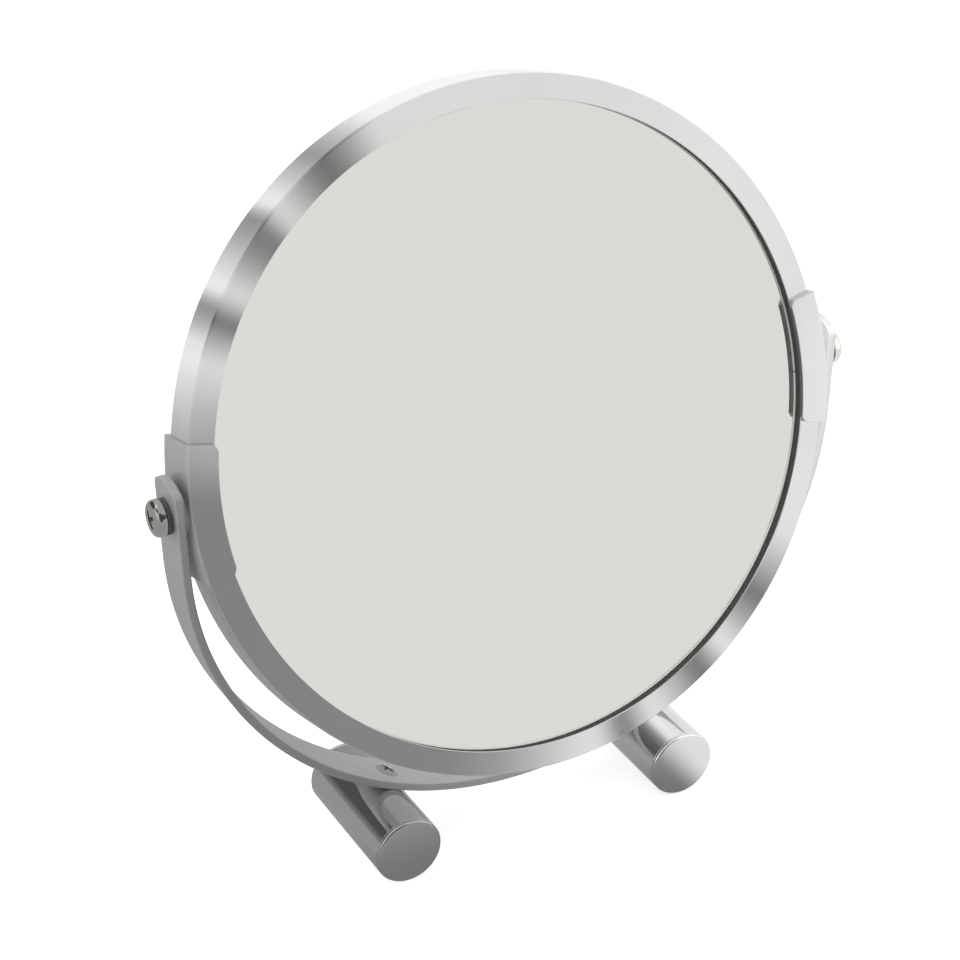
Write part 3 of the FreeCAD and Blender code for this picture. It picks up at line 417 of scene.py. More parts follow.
MAT = {
    "ring_aluminium": spun_aluminium(),
    "gasket_pvc": dull("gasket_pvc", (0.068, 0.073, 0.075), (0.078, 0.083, 0.085), 300.0, 0.6, 0.7, 0.01),
    "mirror_plain": silvered_glass("mirror_plain"),
    "mirror_magnifying": silvered_glass("mirror_magnifying"),
    "spacer_plastic": dull("spacer_plastic", (0.70, 0.70, 0.68), (0.76, 0.76, 0.74), 200.0, 0.45, 0.6),
    "card": dull("card", (0.36, 0.33, 0.28), (0.45, 0.41, 0.35), 400.0, 0.8, 0.95, 0.3),
    # 80.55: radius in mm inside which the blocks' inner flange edge gets painted slate-grey shade
    "block_silver": silver_lacquer("block_silver", 0.45, 80.55),
    "nut_steel": chrome("nut_steel", (0.60, 0.60, 0.58), 0.25, 0.4, 0.1),
    "screw_nickel": chrome("screw_nickel", (0.80, 0.775, 0.745), 0.08, 0.14, 0.03),
    "washer_black": dull("washer_black", (0.085, 0.082, 0.080), (0.115, 0.111, 0.107), 600.0, 0.35, 0.5),
    "washer_nylon": dull("washer_nylon", (0.74, 0.74, 0.72), (0.80, 0.80, 0.78), 300.0, 0.4, 0.55),
    "bow_silver": silver_lacquer("bow_silver", 0.45),
    "foot_chrome": chrome("foot_chrome", (0.78, 0.79, 0.80), 0.06, 0.10, 0.02),
    "cap_chrome": chrome("cap_chrome", (0.78, 0.79, 0.80), 0.16, 0.22, 0.03),
    "core_steel": chrome("core_steel", (0.55, 0.55, 0.54), 0.3, 0.45, 0.1),
}
PAN_NICKEL = nickel("pan_nickel", "X", 95.97, 18.2, 2.7)
SUNK_NICKEL = nickel("sunk_nickel", "Z", 0.75, 7.635, 2.1)
slot_of = {s["node"]: s["material_slot"] for s in frame["record"]["subparts"]}
for name, ob in nodes.items():
    ob.data.materials.clear()
    ob.data.materials.append(MAT[slot_of[name]])

# ------------------------------------------------------------------ frame ring
# Rolled channel with softly bent shoulders and lip edges that are cut under
# at the back. The butt seam is a real gap, under the right block.
LIP_IN, RING_R, HALF, SHEET, FALL = 81.0, 87.5, 6.35, 0.6, 0.5
ring_loop = rounded_loop([
    (LIP_IN, -HALF, 0.12), (RING_R, -HALF + FALL, 0.95),
    (RING_R, HALF - FALL, 0.95), (LIP_IN, HALF, 0.12),
    (LIP_IN, HALF - 0.26, 0.08), (LIP_IN + 0.34, HALF - SHEET, 0.1), (RING_R - SHEET, HALF - SHEET - FALL, 0.4),
    (RING_R - SHEET, -HALF + SHEET + FALL, 0.4), (LIP_IN + 0.34, -HALF + SHEET, 0.1), (LIP_IN, -HALF + 0.26, 0.08)], 6)
ring = turned("frame_ring_spun", ring_loop, 360, HEAD, -2.4, 357.4, "Y")
weighted(ring)
settle(ring, HEAD, "mirror_head", "frame_ring", MAT["ring_aluminium"])

# ------------------------------------------------------------------ concave glass
ROC, GLASS_R, RIM = 850.0, 83.0, 5.1
yc = RIM + math.sqrt(ROC ** 2 - GLASS_R ** 2)
line = [(0.0, yc - ROC)]
for k in range(1, 41):
    r = (GLASS_R - 0.25) * k / 40
    line.append((r, yc - math.sqrt(ROC ** 2 - r ** 2)))
line.append((GLASS_R, RIM - 0.3))
line.append((GLASS_R, yc - math.sqrt((ROC + 2.0) ** 2 - GLASS_R ** 2) + 0.3))
for k in range(40, 0, -1):
    r = (GLASS_R - 0.25) * k / 40
    line.append((r, yc - math.sqrt((ROC + 2.0) ** 2 - r ** 2)))
line.append((0.0, yc - ROC - 2.0))
mag = lathe("mirror_glass_concave", line, 192, HEAD, "Y", 30.0)
settle(mag, HEAD, "mirror_head", "mirror_glass_magnifying", MAT["mirror_magnifying"])

# ------------------------------------------------------------------ pivot blocks
BO, BI, BH, BG, BE, BA, BC = 88.3, 87.55, 7.75, 6.38, 80.5, 11.3, 2.0


def block(side, matrix):
    steps = 60
    verts, faces = [], []
    angs = []
    corner = math.degrees(BC / BE)
    for k in range(13):
        angs.append(-BA + corner * (1 - math.cos(math.radians(90 * k / 12))))
    for k in range(1, steps):
        angs.append(-BA + corner + (2 * BA - 2 * corner) * k / steps)
    angs += [-a for a in angs[12::-1]]
    m = None
    for a in angs:
        d = max(0.0, (BA - abs(a)) / corner) * BC
        edge = BE + (BC - math.sqrt(max(0.0, BC ** 2 - (BC - d) ** 2)) if d < BC else 0.0)
        # the inside follows the sloping lips and the shoulders of the ring
        at_edge, at_web = (BG - (r - LIP_IN) * FALL / (RING_R - LIP_IN) for r in (edge, BI))
        loop = rounded_loop([
            (BO, -BH, 0.75), (BO, BH, 0.75), (edge, BH, 0.3), (edge, at_edge, 0.2),
            (BI, at_web, 0.93), (BI, -at_web, 0.93), (edge, -at_edge, 0.2), (edge, -BH, 0.3)], 4)
        m = len(loop)
        c, s = math.cos(math.radians(a)), math.sin(math.radians(a))
        verts += [(r * c, y, r * s) for r, y in loop]
    n = len(angs)
    for i in range(n - 1):
        for k in range(m):
            l = (k + 1) % m
            faces.append((i * m + k, i * m + l, (i + 1) * m + l, (i + 1) * m + k))
    faces.append(tuple(range(m)))
    faces.append(tuple(range((n - 1) * m, n * m))[::-1])
    ob = add_object("pivot_clip_" + side, verts, faces, matrix, 40.0)
    bevelled(ob, 0.22, 2, 50.0)
    weighted(ob)
    settle(ob, matrix, "mirror_head", "pivot_block_" + side, MAT["block_silver"])
    return ob


block("right", HEAD)
block("left", HEAD_LEFT)


# ------------------------------------------------------------------ screws
def cross_cutter(name, wing, width, depth, matrix):
    """Tapered cross for a screw recess; drawn down -Z from the origin."""
    bm = bmesh.new()
    for turn in (0.0, 90.0):
        c, s = math.cos(math.radians(turn)), math.sin(math.radians(turn))
        pts = []
        for z, wx, wy in ((1.5, wing * 0.5, width * 0.5), (0.0, wing * 0.5, width * 0.5), (-depth, wing * 0.2, width * 0.36)):
            ring_pts = []
            for sx, sy in ((-1, -1), (1, -1), (1, 1), (-1, 1)):
                x, y = sx * wx, sy * wy
                ring_pts.append(bm.verts.new(((x * c - y * s) * MM, (x * s + y * c) * MM, z * MM)))
            pts.append(ring_pts)
        for a, b in ((0, 1), (1, 2)):
            for k in range(4):
                bm.faces.new((pts[a][k], pts[a][(k + 1) % 4], pts[b][(k + 1) % 4], pts[b][k]))
        bm.faces.new(pts[0])
        bm.faces.new(pts[2][::-1])
    bmesh.ops.recalc_face_normals(bm, faces=bm.faces)
    me = bpy.data.meshes.new(name)
    bm.to_mesh(me)
    bm.free()
    ob = bpy.data.objects.new(name, me)
    bpy.context.scene.collection.objects.link(ob)
    ob.matrix_world = matrix
    return ob


def recess(ob, cutter_matrices, wing, width, depth):
    """Cuts a cross recess into a screw and leaves only the finished mesh."""
    for i, mx in enumerate(cutter_matrices):
        cut = cross_cutter("recess_tool", wing, width, depth, mx)
        b = ob.modifiers.new("recess", "BOOLEAN")
        b.operation = "DIFFERENCE"
        b.solver = "EXACT"
        b.use_self = True
        b.object = cut
        bpy.context.view_layer.update()
        dg = bpy.context.evaluated_depsgraph_get()
        me = bpy.data.meshes.new_from_object(ob.evaluated_get(dg))
        ob.modifiers.clear()
        old = ob.data
        ob.data = me
        bpy.data.meshes.remove(old)
        bpy.data.objects.remove(cut)
    for p in ob.data.polygons:
        p.use_smooth = True
    ob.data.set_sharp_from_angle(angle=math.radians(30.0))


def pivot_screw(side, matrix):
    # pan head with a soft shoulder; along +X, drawn on the right
    tip, under, rs, rh = 83.9, 93.0, 2.5, 4.6
    top, rise, soft = 95.97, 0.59, 1.4
    ball = (rh ** 2 + rise ** 2) / (2 * rise)
    dome = top - ball
    line = [(0.0, tip), (rs - 0.4, tip), (rs, tip + 0.4)]
    # thread: shallow rings on the shank
    x = tip + 0.6
    while x < under - 0.9:
        line += [(rs, x), (rs - 0.32, x + 0.35), (rs, x + 0.7)]
        x += 0.8
    line += [(rs, under - 0.02), (rs + 0.02, under), (rh - 0.25, under), (rh, under + 0.22)]
    # straight side, rounded into the low dome
    high = math.sqrt((ball - soft) ** 2 - (rh - soft) ** 2)
    a_top = math.atan2(rh - soft, high)
    for k in range(11):
        a = (math.pi / 2 - a_top) * k / 10.0
        line.append((rh - soft + soft * math.cos(a), dome + high + soft * math.sin(a)))
    for k in range(1, 11):
        a = a_top * (1 - k / 10.0)
        line.append((ball * math.sin(a), dome + ball * math.cos(a)))
    line[-1] = (0.0, top)
    ob = lathe("pivot_screw_bright_" + side, line, 96, matrix, "X", 30.0)
    spin = 20.0 if side == "left" else 52.0
    mx = matrix @ Matrix.Translation((top * MM, 0, 0)) @ Matrix.Rotation(math.pi / 2, 4, "Y") @ Matrix.Rotation(math.radians(spin), 4, "Z")
    recess(ob, [mx], 4.9, 1.0, 1.9)
    settle(ob, matrix, "mirror_head", "pivot_screw_" + side, PAN_NICKEL)
    return ob


pivot_screw("right", HEAD)
pivot_screw("left", HEAD_LEFT)

# ------------------------------------------------------------------ bow
BW, BT, BHW = 91.0, 2.2, 6.3
R_END, Z_LEG, R_SIDE, R_BASE, Z_C = 9.5, 99.15, 86.4, 91.2804, 100.7804
Z_TOP = PIVOT_Z + R_END
A_LEG = math.radians(2.5)
cx = BW - R_SIDE
aj = math.atan2(Z_LEG - Z_C, cx)


def bow_path():
    """Stations on the strip's outer face: (x, z, inward normal, distance from the near end)."""
    st = []
    # the rounded end and the straight leg, which leans outwards
    sn, cs = math.sin(A_LEG), math.cos(A_LEG)
    foot_x, foot_z = cx + R_SIDE * cs, Z_LEG - R_SIDE * sn
    drops = [R_END * (1 - math.cos(math.radians(a))) for a in (1, 2, 3.5, 5, 7, 9, 12, 15, 18, 21, 24, 27, 30, 33, 35, 37, 38.5, 40, 41, 42, 43, 44, 45, 46, 48)]
    leg = Z_TOP - foot_z
    drops += [drops[-1] + (leg - drops[-1]) * k / 16.0 for k in range(1, 17)]
    for d in drops:
        z = Z_TOP - d
        st.append((foot_x + (z - foot_z) * sn / cs, z, -cs, sn, d))
    n1 = 56
    for k in range(1, n1 + 1):
        a = -A_LEG + (aj + A_LEG) * k / n1
        st.append((cx + R_SIDE * math.cos(a), Z_LEG + R_SIDE * math.sin(a), -math.cos(a), -math.sin(a), leg - R_SIDE * (a + A_LEG)))
    base = leg - R_SIDE * (aj + A_LEG)
    n2 = 44
    for k in range(1, n2 + 1):
        a = aj + (-math.pi / 2 - aj) * k / n2
        st.append((R_BASE * math.cos(a), Z_C + R_BASE * math.sin(a), -math.cos(a), -math.sin(a), base + R_BASE * (aj - a)))
    other = [(-x, z, -nx, nz, d) for x, z, nx, nz, d in st[:-1]][::-1]
    return st + other


def bow_half(d, inset):
    """Half width of the strip a distance d from its end, drawn in by inset."""
    side_w = BHW - inset
    h = R_END - d
    if h <= 0.0:
        return side_w
    arch = math.sqrt(max(0.0, (R_END - inset) ** 2 - h ** 2))
    soft = 0.9
    gap = (side_w - arch) / soft
    if abs(gap) >= 1.0:
        return max(0.0, min(side_w, arch))
    return side_w - soft * (1.0 + gap) ** 2 / 4.0


def bow_piece():
    """Bent strip with both ends rounded about the pivots and all edges eased."""
    verts, faces = [], []
    st = bow_path()
    eb, seg = 0.38, 4
    m = 4 * (seg + 1)
    for x, z, nx, nz, d in st:
        top = math.pi / 2 if d >= eb else math.acos(1.0 - d / eb)
        quarter = []
        for k in range(seg + 1):
            a = top * k / seg
            quarter.append((eb * (1.0 - math.sin(a)), bow_half(d, eb * (1.0 - math.cos(a)))))
        loop = [(o, -w) for o, w in quarter] + [(o, w) for o, w in quarter[::-1]]
        loop += [(BT - o, w) for o, w in quarter] + [(BT - o, -w) for o, w in quarter[::-1]]
        for off, y in loop:
            verts.append((x + nx * off, y, z + nz * off))
    n = len(st)
    for i in range(n - 1):
        for k in range(m):
            l = (k + 1) % m
            faces.append((i * m + k, i * m + l, (i + 1) * m + l, (i + 1) * m + k))
    faces.append(tuple(range(m)))
    faces.append(tuple(range((n - 1) * m, n * m))[::-1])
    ob = add_object("bow_strip_bent", verts, faces, STAND, 40.0)
    weighted(ob)
    settle(ob, STAND, "stand", "bow", MAT["bow_silver"])
    return ob


bow_piece()

# ------------------------------------------------------------------ feet
FX, FZ, FR = 40.3442, 9.05, 9.05
LEAN = math.radians(23.7405)
F_FRONT, F_REAR = 21.5, 18.0


def foot(side, sgn):
    mx = Matrix.Translation((sgn * FX * MM, 0, FZ * MM))
    loop = rounded_loop([
        (FR, 1.02 - F_FRONT, 0.16), (FR, F_REAR - 1.02, 0.16),
        (FR - 1.05, F_REAR - 1.02, 0.1), (FR - 1.05, 1.02 - F_FRONT, 0.1)], 3)
    tube = turned("foot_tube_bright_" + side, loop, 160, mx, 0.0, 360.0, "Y")
    weighted(tube)
    settle(tube, mx, "stand", "foot_tube_" + side, MAT["foot_chrome"])
    for end, flip in (("front", 1.0), ("rear", -1.0)):
        y0 = -F_FRONT if end == "front" else F_REAR
        outline = [(0.0, 0.0), (4.0, 0.0), (7.6, 0.0)]
        rr = 0.7
        for k in range(9):
            a = math.radians(90.0 * k / 8)
            outline.append((FR - rr + rr * math.sin(a), rr - rr * math.cos(a)))
        outline += [(FR, 0.86), (FR - 0.12, 0.98), (7.95, 0.98), (7.85, 1.05), (7.85, 5.5), (7.45, 6.0), (0.0, 6.0)]
        m2 = Matrix.Translation((sgn * FX * MM, y0 * MM, FZ * MM)) @ (Matrix.Identity(4) if end == "front" else Matrix.Rotation(math.pi, 4, "Z"))
        cap = lathe("foot_cap_bright_%s_%s" % (side, end), outline, 160, m2, "Y", 30.0)
        weighted(cap)
        settle(cap, m2, "stand", "foot_cap_%s_%s" % (side, end), MAT["cap_chrome"])
    # raised countersunk screw, along the line from the bow's inner face to the foot's axis
    face = R_BASE - BT + 0.05
    at = Vector((sgn * face * math.sin(LEAN), 0.0, Z_C - face * math.cos(LEAN))) * MM
    ms = Matrix.Translation(at) @ Matrix.Rotation(-sgn * LEAN, 4, "Y")
    rh, rise, rs = 3.3, 0.75, 2.0
    ball = (rh ** 2 + rise ** 2) / (2 * rise)
    outline = [(0.0, rise)]
    a_max = math.asin(rh / ball)
    for k in range(1, 11):
        a = a_max * k / 10
        outline.append((ball * math.sin(a), rise - ball + ball * math.cos(a)))
    outline += [(rh, -0.1), (rs, -1.35), (rs, -13.5), (rs - 0.4, -14.0), (0.0, -14.0)]
    sc = lathe("foot_screw_bright_" + side, outline, 80, ms, "Z", 30.0)
    recess(sc, [ms @ Matrix.Translation((0, 0, rise * MM)) @ Matrix.Rotation(math.radians(35.0 if side == "left" else 70.0), 4, "Z")], 3.6, 0.9, 1.5)
    settle(sc, ms, "stand", "foot_screw_" + side, SUNK_NICKEL)


foot("left", -1.0)
foot("right", 1.0)

# ------------------------------------------------------------------ studio
scene = bpy.context.scene
scene.view_settings.view_transform = "Standard"
scene.view_settings.look = "None"
scene.view_settings.exposure = 0.0
scene.view_settings.gamma = 1.0


def ramp(nt, fac, stops, span):
    """Piecewise linear brightness over a range of the input."""
    lo, hi = span
    pos = node(nt, "ShaderNodeMapRange")
    pos.inputs["From Min"].default_value = lo
    pos.inputs["From Max"].default_value = hi
    nt.links.new(fac, pos.inputs["Value"])
    rp = node(nt, "ShaderNodeValToRGB")
    els = rp.color_ramp.elements
    rp.color_ramp.interpolation = "LINEAR"
    for k, (at, val) in enumerate(stops):
        p = (at - lo) / (hi - lo)
        el = els[k] if k < 2 else els.new(p)
        el.position = p
        el.color = (val, val, val, 1.0)
    nt.links.new(pos.outputs["Result"], rp.inputs["Fac"])
    return rp.outputs["Color"]


def math_node(nt, op, a, b=None, clamp=False):
    nd = node(nt, "ShaderNodeMath", operation=op)
    nd.use_clamp = clamp
    for i, v in enumerate((a, b)):
        if v is None:
            continue
        if isinstance(v, (int, float)):
            nd.inputs[i].default_value = v
        else:
            nt.links.new(v, nd.inputs[i])
    return nd.outputs[0]


def step(nt, value, lo, hi, a=0.0, b=1.0):
    nd = node(nt, "ShaderNodeMapRange", interpolation_type="SMOOTHSTEP")
    for k, v in (("From Min", lo), ("From Max", hi), ("To Min", a), ("To Max", b)):
        nd.inputs[k].default_value = v
    nt.links.new(value, nd.inputs["Value"])
    return nd.outputs["Result"]


def blend_tone(nt, fac, a, b):
    """a where fac is 0, b where it is 1; each a socket or a grey."""
    nd = node(nt, "ShaderNodeMix", data_type="RGBA")
    nt.links.new(fac, nd.inputs["Factor"])
    for key, v in (("A", a), ("B", b)):
        if isinstance(v, (int, float)):
            nd.inputs[key].default_value = (v, v, v, 1.0)
        else:
            nt.links.new(v, nd.inputs[key])
    return nd.outputs["Result"]


def axes(nt, vec):
    sep = node(nt, "ShaderNodeSeparateXYZ")
    nt.links.new(vec, sep.inputs[0])
    return sep.outputs["X"], sep.outputs["Y"], sep.outputs["Z"]


# Soft daylight for the lacquer and the floor: strongest from the sides and
# above, weaker from the front.
world = bpy.data.worlds.new("studio")
scene.world = world
world.use_nodes = True
wnt = world.node_tree
bg = wnt.nodes["Background"]
wx, wy, wz = axes(wnt, node(wnt, "ShaderNodeTexCoord").outputs["Generated"])
w_front = step(wnt, wy, -1.0, -0.1, 0.32, 0.86)
w_left = math_node(wnt, "MULTIPLY", w_front, step(wnt, wx, -0.9, -0.1, 1.34, 1.0))
w_low = step(wnt, wx, 0.0, 0.6, 0.46, 1.9)
w_high = step(wnt, wz, -0.5, 0.35)
w_rise = math_node(wnt, "ADD", w_low, math_node(wnt, "MULTIPLY", w_high, math_node(wnt, "SUBTRACT", 1.0, w_low)))
w_all = math_node(wnt, "MULTIPLY", w_left, w_rise)
nt_mix = node(wnt, "ShaderNodeCombineColor")
for key in ("Red", "Green", "Blue"):
    wnt.links.new(w_all, nt_mix.inputs[key])
wnt.links.new(nt_mix.outputs[0], bg.inputs["Color"])
bg.inputs["Strength"].default_value = 1.0
# polished surfaces see the tents below instead
world.cycles_visibility.glossy = False

floor_verts = [(-4000, -4000, 0), (4000, -4000, 0), (4000, 4000, 0), (-4000, 4000, 0)]
floor = add_object("studio_floor", floor_verts, [(0, 1, 2, 3)], Matrix.Identity(4))
fmat, fnt, fb = new_mat("floor_pale")
fcloud = noise(fnt, obj_coord(fnt), 6.0, 2.0)
fnt.links.new(two_tone(fnt, fcloud, (0.90, 0.90, 0.90), (0.915, 0.915, 0.915)), fb.inputs["Base Color"])
fb.inputs["Roughness"].default_value = 0.9
fb.inputs["Specular IOR Level"].default_value = 0.0
fb.inputs["Emission Color"].default_value = (1.0, 1.0, 1.0, 1.0)
fb.inputs["Emission Strength"].default_value = 0.65
fmat.cycles.emission_sampling = "NONE"
floor.data.materials.append(fmat)
floor.visible_glossy = False
floor.visible_diffuse = False

# ------------------------------------------------------------------ reflections
# Light tents that only polished surfaces see. Each is a large shell of soft
# panels that lights the pieces given to it and lets other rays through.
ALL = dict(PIECES)
for name, ob in nodes.items():
    if not ob.hide_render:
        ALL.setdefault(ob.name, ob)


def group(name, test):
    c = bpy.data.collections.new(name)
    for nm, ob in ALL.items():
        if test(nm):
            c.objects.link(ob)
    return c


def only_reflections(ob):
    ob.visible_camera = False
    ob.visible_diffuse = False
    ob.visible_shadow = False
    ob.visible_transmission = False
    ob.visible_volume_scatter = False


def ball_mesh(name, rad, at=(0.0, 0.0, PIVOT_Z)):
    n, m = 48, 24
    verts, faces = [(0, 0, rad)], []
    for j in range(1, m):
        for i in range(n):
            e, a = math.pi * j / m, 2 * math.pi * i / n
            verts.append((rad * math.sin(e) * math.cos(a), rad * math.sin(e) * math.sin(a), rad * math.cos(e)))
    verts.append((0, 0, -rad))
    last = len(verts) - 1
    for i in range(n):
        k = (i + 1) % n
        faces.append((0, 1 + i, 1 + k))
        for j in range(m - 2):
            faces.append((1 + j * n + i, 1 + (j + 1) * n + i, 1 + (j + 1) * n + k, 1 + j * n + k))
        faces.append((1 + (m - 2) * n + i, last, 1 + (m - 2) * n + k))
    return add_object(name, verts, faces, Matrix.Translation(Vector(at) * MM))


def glow(ob, colour, receivers):
    """Emission added to whatever lies behind, for one group of pieces."""
    mat = bpy.data.materials.new(ob.name + "_panels")
    mat.use_nodes = True
    nt = mat.node_tree
    for nd in list(nt.nodes):
        nt.nodes.remove(nd)
    out = node(nt, "ShaderNodeOutputMaterial")
    em = node(nt, "ShaderNodeEmission")
    clear = node(nt, "ShaderNodeBsdfTransparent")
    both = node(nt, "ShaderNodeAddShader")
    nt.links.new(em.outputs[0], both.inputs[0])
    nt.links.new(clear.outputs[0], both.inputs[1])
    nt.links.new(both.outputs[0], out.inputs["Surface"])
    nt.links.new(colour(nt), em.inputs["Color"])
    mat.cycles.emission_sampling = "NONE"
    ob.data.materials.append(mat)
    only_reflections(ob)
    ob.light_linking.receiver_collection = receivers
    return ob


def head_plane(nt):
    """The shell's directions, in the leaning head's frame, from the middle
    of the quiet panel that the flat glass reflects."""
    nrm = node(nt, "ShaderNodeVectorMath", operation="NORMALIZE")
    nt.links.new(obj_coord(nt), nrm.inputs[0])
    rotv = node(nt, "ShaderNodeVectorRotate", rotation_type="X_AXIS")
    rotv.inputs["Angle"].default_value = math.radians(TILT)
    nt.links.new(nrm.outputs[0], rotv.inputs["Vector"])
    off = node(nt, "ShaderNodeVectorMath", operation="ADD")
    off.inputs[1].default_value = (-0.425, 0.0, 0.261)
    nt.links.new(rotv.outputs[0], off.inputs[0])
    return axes(nt, off.outputs[0])


# brightness of the ring's panels by angle round that middle: those in front,
# which the lips see, and those behind, which the web sees
LIPS = [
    (-180, 0.237), (-114, 0.252), (-104.5, 0.360), (-98.5, 0.530), (-92.5, 0.730), (-86, 0.860), (-81, 0.070),
    (-75, 0.940), (-69, 0.540), (-62.5, 0.090), (-56.7, 0.970), (-50.5, 0.450), (-45, 0.160), (-38, 0.540),
    (-31.5, 0.870), (-20, 0.845), (45, 0.845), (65, 0.795), (80, 0.775), (108, 0.790), (113, 0.360),
    (118.2, 0.130), (122, 0.290), (129, 0.860), (132.7, 0.120), (138, 0.330), (144.6, 0.860), (149, 0.080),
    (156.3, 0.820), (164.5, 0.520), (176.5, 0.245), (180, 0.237)]
WEB = [
    (-180, 0.293), (-150, 0.371), (-111, 0.293), (-99, 0.432), (-87, 0.791), (-83.5, 0.816), (-78, 0.266),
    (-72, 0.833), (-60, 0.266), (-54.3, 0.850), (-43.5, 0.275), (-30, 0.850), (45, 0.928), (85, 1.068),
    (107.5, 1.011), (113, 0.617), (118.7, 0.341), (124, 0.645), (129, 1.011), (131.8, 0.302), (135, 0.404),
    (138, 0.575), (144.6, 0.992), (147.3, 0.302), (150, 0.415), (153, 0.833), (156, 0.937), (162, 0.705),
    (168, 0.491), (174, 0.351), (180, 0.293)]
QUIET = 0.83


def ring_tone(nt):
    x, y, z = head_plane(nt)
    ang = math_node(nt, "ARCTAN2", z, x)
    front = ramp(nt, ang, [(math.radians(d), v) for d, v in LIPS], (-math.pi, math.pi))
    behind = ramp(nt, ang, [(math.radians(d), v) for d, v in WEB], (-math.pi, math.pi))
    return blend_tone(nt, step(nt, y, -0.12, 0.12), front, behind)


def glass_tone(nt):
    # even in the middle, falling off gently towards the floor and the sides
    x, y, z = head_plane(nt)
    r = math_node(nt, "SQRT", math_node(nt, "ADD", math_node(nt, "MULTIPLY", x, x), math_node(nt, "MULTIPLY", z, z)))
    far = blend_tone(nt, step(nt, z, -0.5, 0.9), 0.45, 1.0)
    return blend_tone(nt, step(nt, r, 0.24, 0.75), QUIET, far)


def foot_tone(stops, white):
    """Panels by height and side behind a foot, and a white one above the front
    with a dark flag in its middle, low down, which the rims of the caps see."""
    def tone(nt):
        nrm = node(nt, "ShaderNodeVectorMath", operation="NORMALIZE")
        nt.links.new(obj_coord(nt), nrm.inputs[0])
        x, y, z = axes(nt, nrm.outputs[0])
        ang = math_node(nt, "ARCTAN2", z, x)
        panels = ramp(nt, ang, [(math.radians(d), v) for d, v in stops], (0.0, math.pi))
        panels = blend_tone(nt, step(nt, y, -0.20, 0.10), white, panels)
        flag = math_node(nt, "MULTIPLY", step(nt, y, -0.85, -0.72, 1.0, 0.0), step(nt, x, 0.22, 0.34, 1.0, 0.0))
        panels = blend_tone(nt, flag, panels, 0.06)
        return blend_tone(nt, step(nt, z, -0.0065, -0.0035), 0.0, panels)
    return tone


FOOT_LEFT = [(0, 0.38), (40, 0.34), (84, 0.32), (90, 0.24), (113, 0.24), (116, 0.085), (156, 0.085), (168, 0.18), (180, 0.28)]
FOOT_RIGHT = [(0, 0.90), (40, 0.90), (72, 1.02), (86, 1.02), (98, 0.84), (110, 0.47), (122, 0.28), (140, 0.15), (166, 0.10), (180, 0.22)]


def table_tone(card):
    """What the feet see of the table: grey, darker right before a foot, and
    dark further in front.
    A white card lies on the right of the right foot."""
    def tone(nt):
        x, y, z = axes(nt, obj_coord(nt))
        far = blend_tone(nt, step(nt, x, 0.08, 0.12), 0.06, 0.38)
        front = blend_tone(nt, step(nt, y, -0.085, -0.065), far, 0.38)
        near = blend_tone(nt, step(nt, y, -0.056, -0.022), front, 0.21)
        grey = blend_tone(nt, step(nt, x, -0.060, 0.030), 0.35, 0.40)
        rear = blend_tone(nt, step(nt, y, -0.030, 0.010), near, grey)
        if not card:
            return rear
        return blend_tone(nt, step(nt, x, 0.041, 0.053), rear, 0.93)
    return tone


def rest_tone(nt):
    # like the daylight: weak in front and below, stronger at the sides
    nrm = node(nt, "ShaderNodeVectorMath", operation="NORMALIZE")
    nt.links.new(obj_coord(nt), nrm.inputs[0])
    x, y, z = axes(nt, nrm.outputs[0])
    back_up = blend_tone(nt, step(nt, z, -0.6, 0.5), 0.50, 0.85)
    sides = blend_tone(nt, step(nt, x, -0.9, -0.2), 0.68, back_up)
    return blend_tone(nt, step(nt, y, -0.9, -0.2), 0.38, sides)


def screw_tone(nt):
    # grey all round, with dark flags behind on the left and in front, and
    # lighter panels above and on the left
    nrm = node(nt, "ShaderNodeVectorMath", operation="NORMALIZE")
    nt.links.new(obj_coord(nt), nrm.inputs[0])
    x, y, z = axes(nt, nrm.outputs[0])
    tone = blend_tone(nt, step(nt, z, -0.5, 0.4), 0.33, 0.40)
    for aim, lo, hi, level in FLAGS:
        dot = node(nt, "ShaderNodeVectorMath", operation="DOT_PRODUCT")
        nt.links.new(nrm.outputs[0], dot.inputs[0])
        dot.inputs[1].default_value = Vector(aim).normalized()
        tone = blend_tone(nt, step(nt, dot.outputs["Value"], lo, hi), tone, level)
    return tone


FLAGS = [((-0.88, -0.15, 0.45), 0.88, 0.93, 0.58), ((-0.30, 0.25, 0.92), 0.90, 0.94, 0.72),
         ((-0.50, 0.66, 0.50), 0.86, 0.90, 0.06), ((-0.16, -0.84, 0.45), 0.86, 0.90, 0.06),
         ((-0.58, -0.12, 0.80), 0.955, 0.975, 0.06)]


def is_ring(nm):
    return nm == "frame_ring_spun"


def is_glass(nm):
    return "glass_concave" in nm or "glass_plain" in nm


def is_left_foot(nm):
    return nm.startswith("foot_") and "_left" in nm


def is_right_foot(nm):
    return (nm.startswith("foot_") or nm.startswith("pivot_screw")) and "_right" in nm


def is_left_screw(nm):
    return nm.startswith("pivot_screw") and "_left" in nm


def is_rest(nm):
    return not (is_ring(nm) or is_glass(nm) or is_left_foot(nm) or is_right_foot(nm) or is_left_screw(nm))


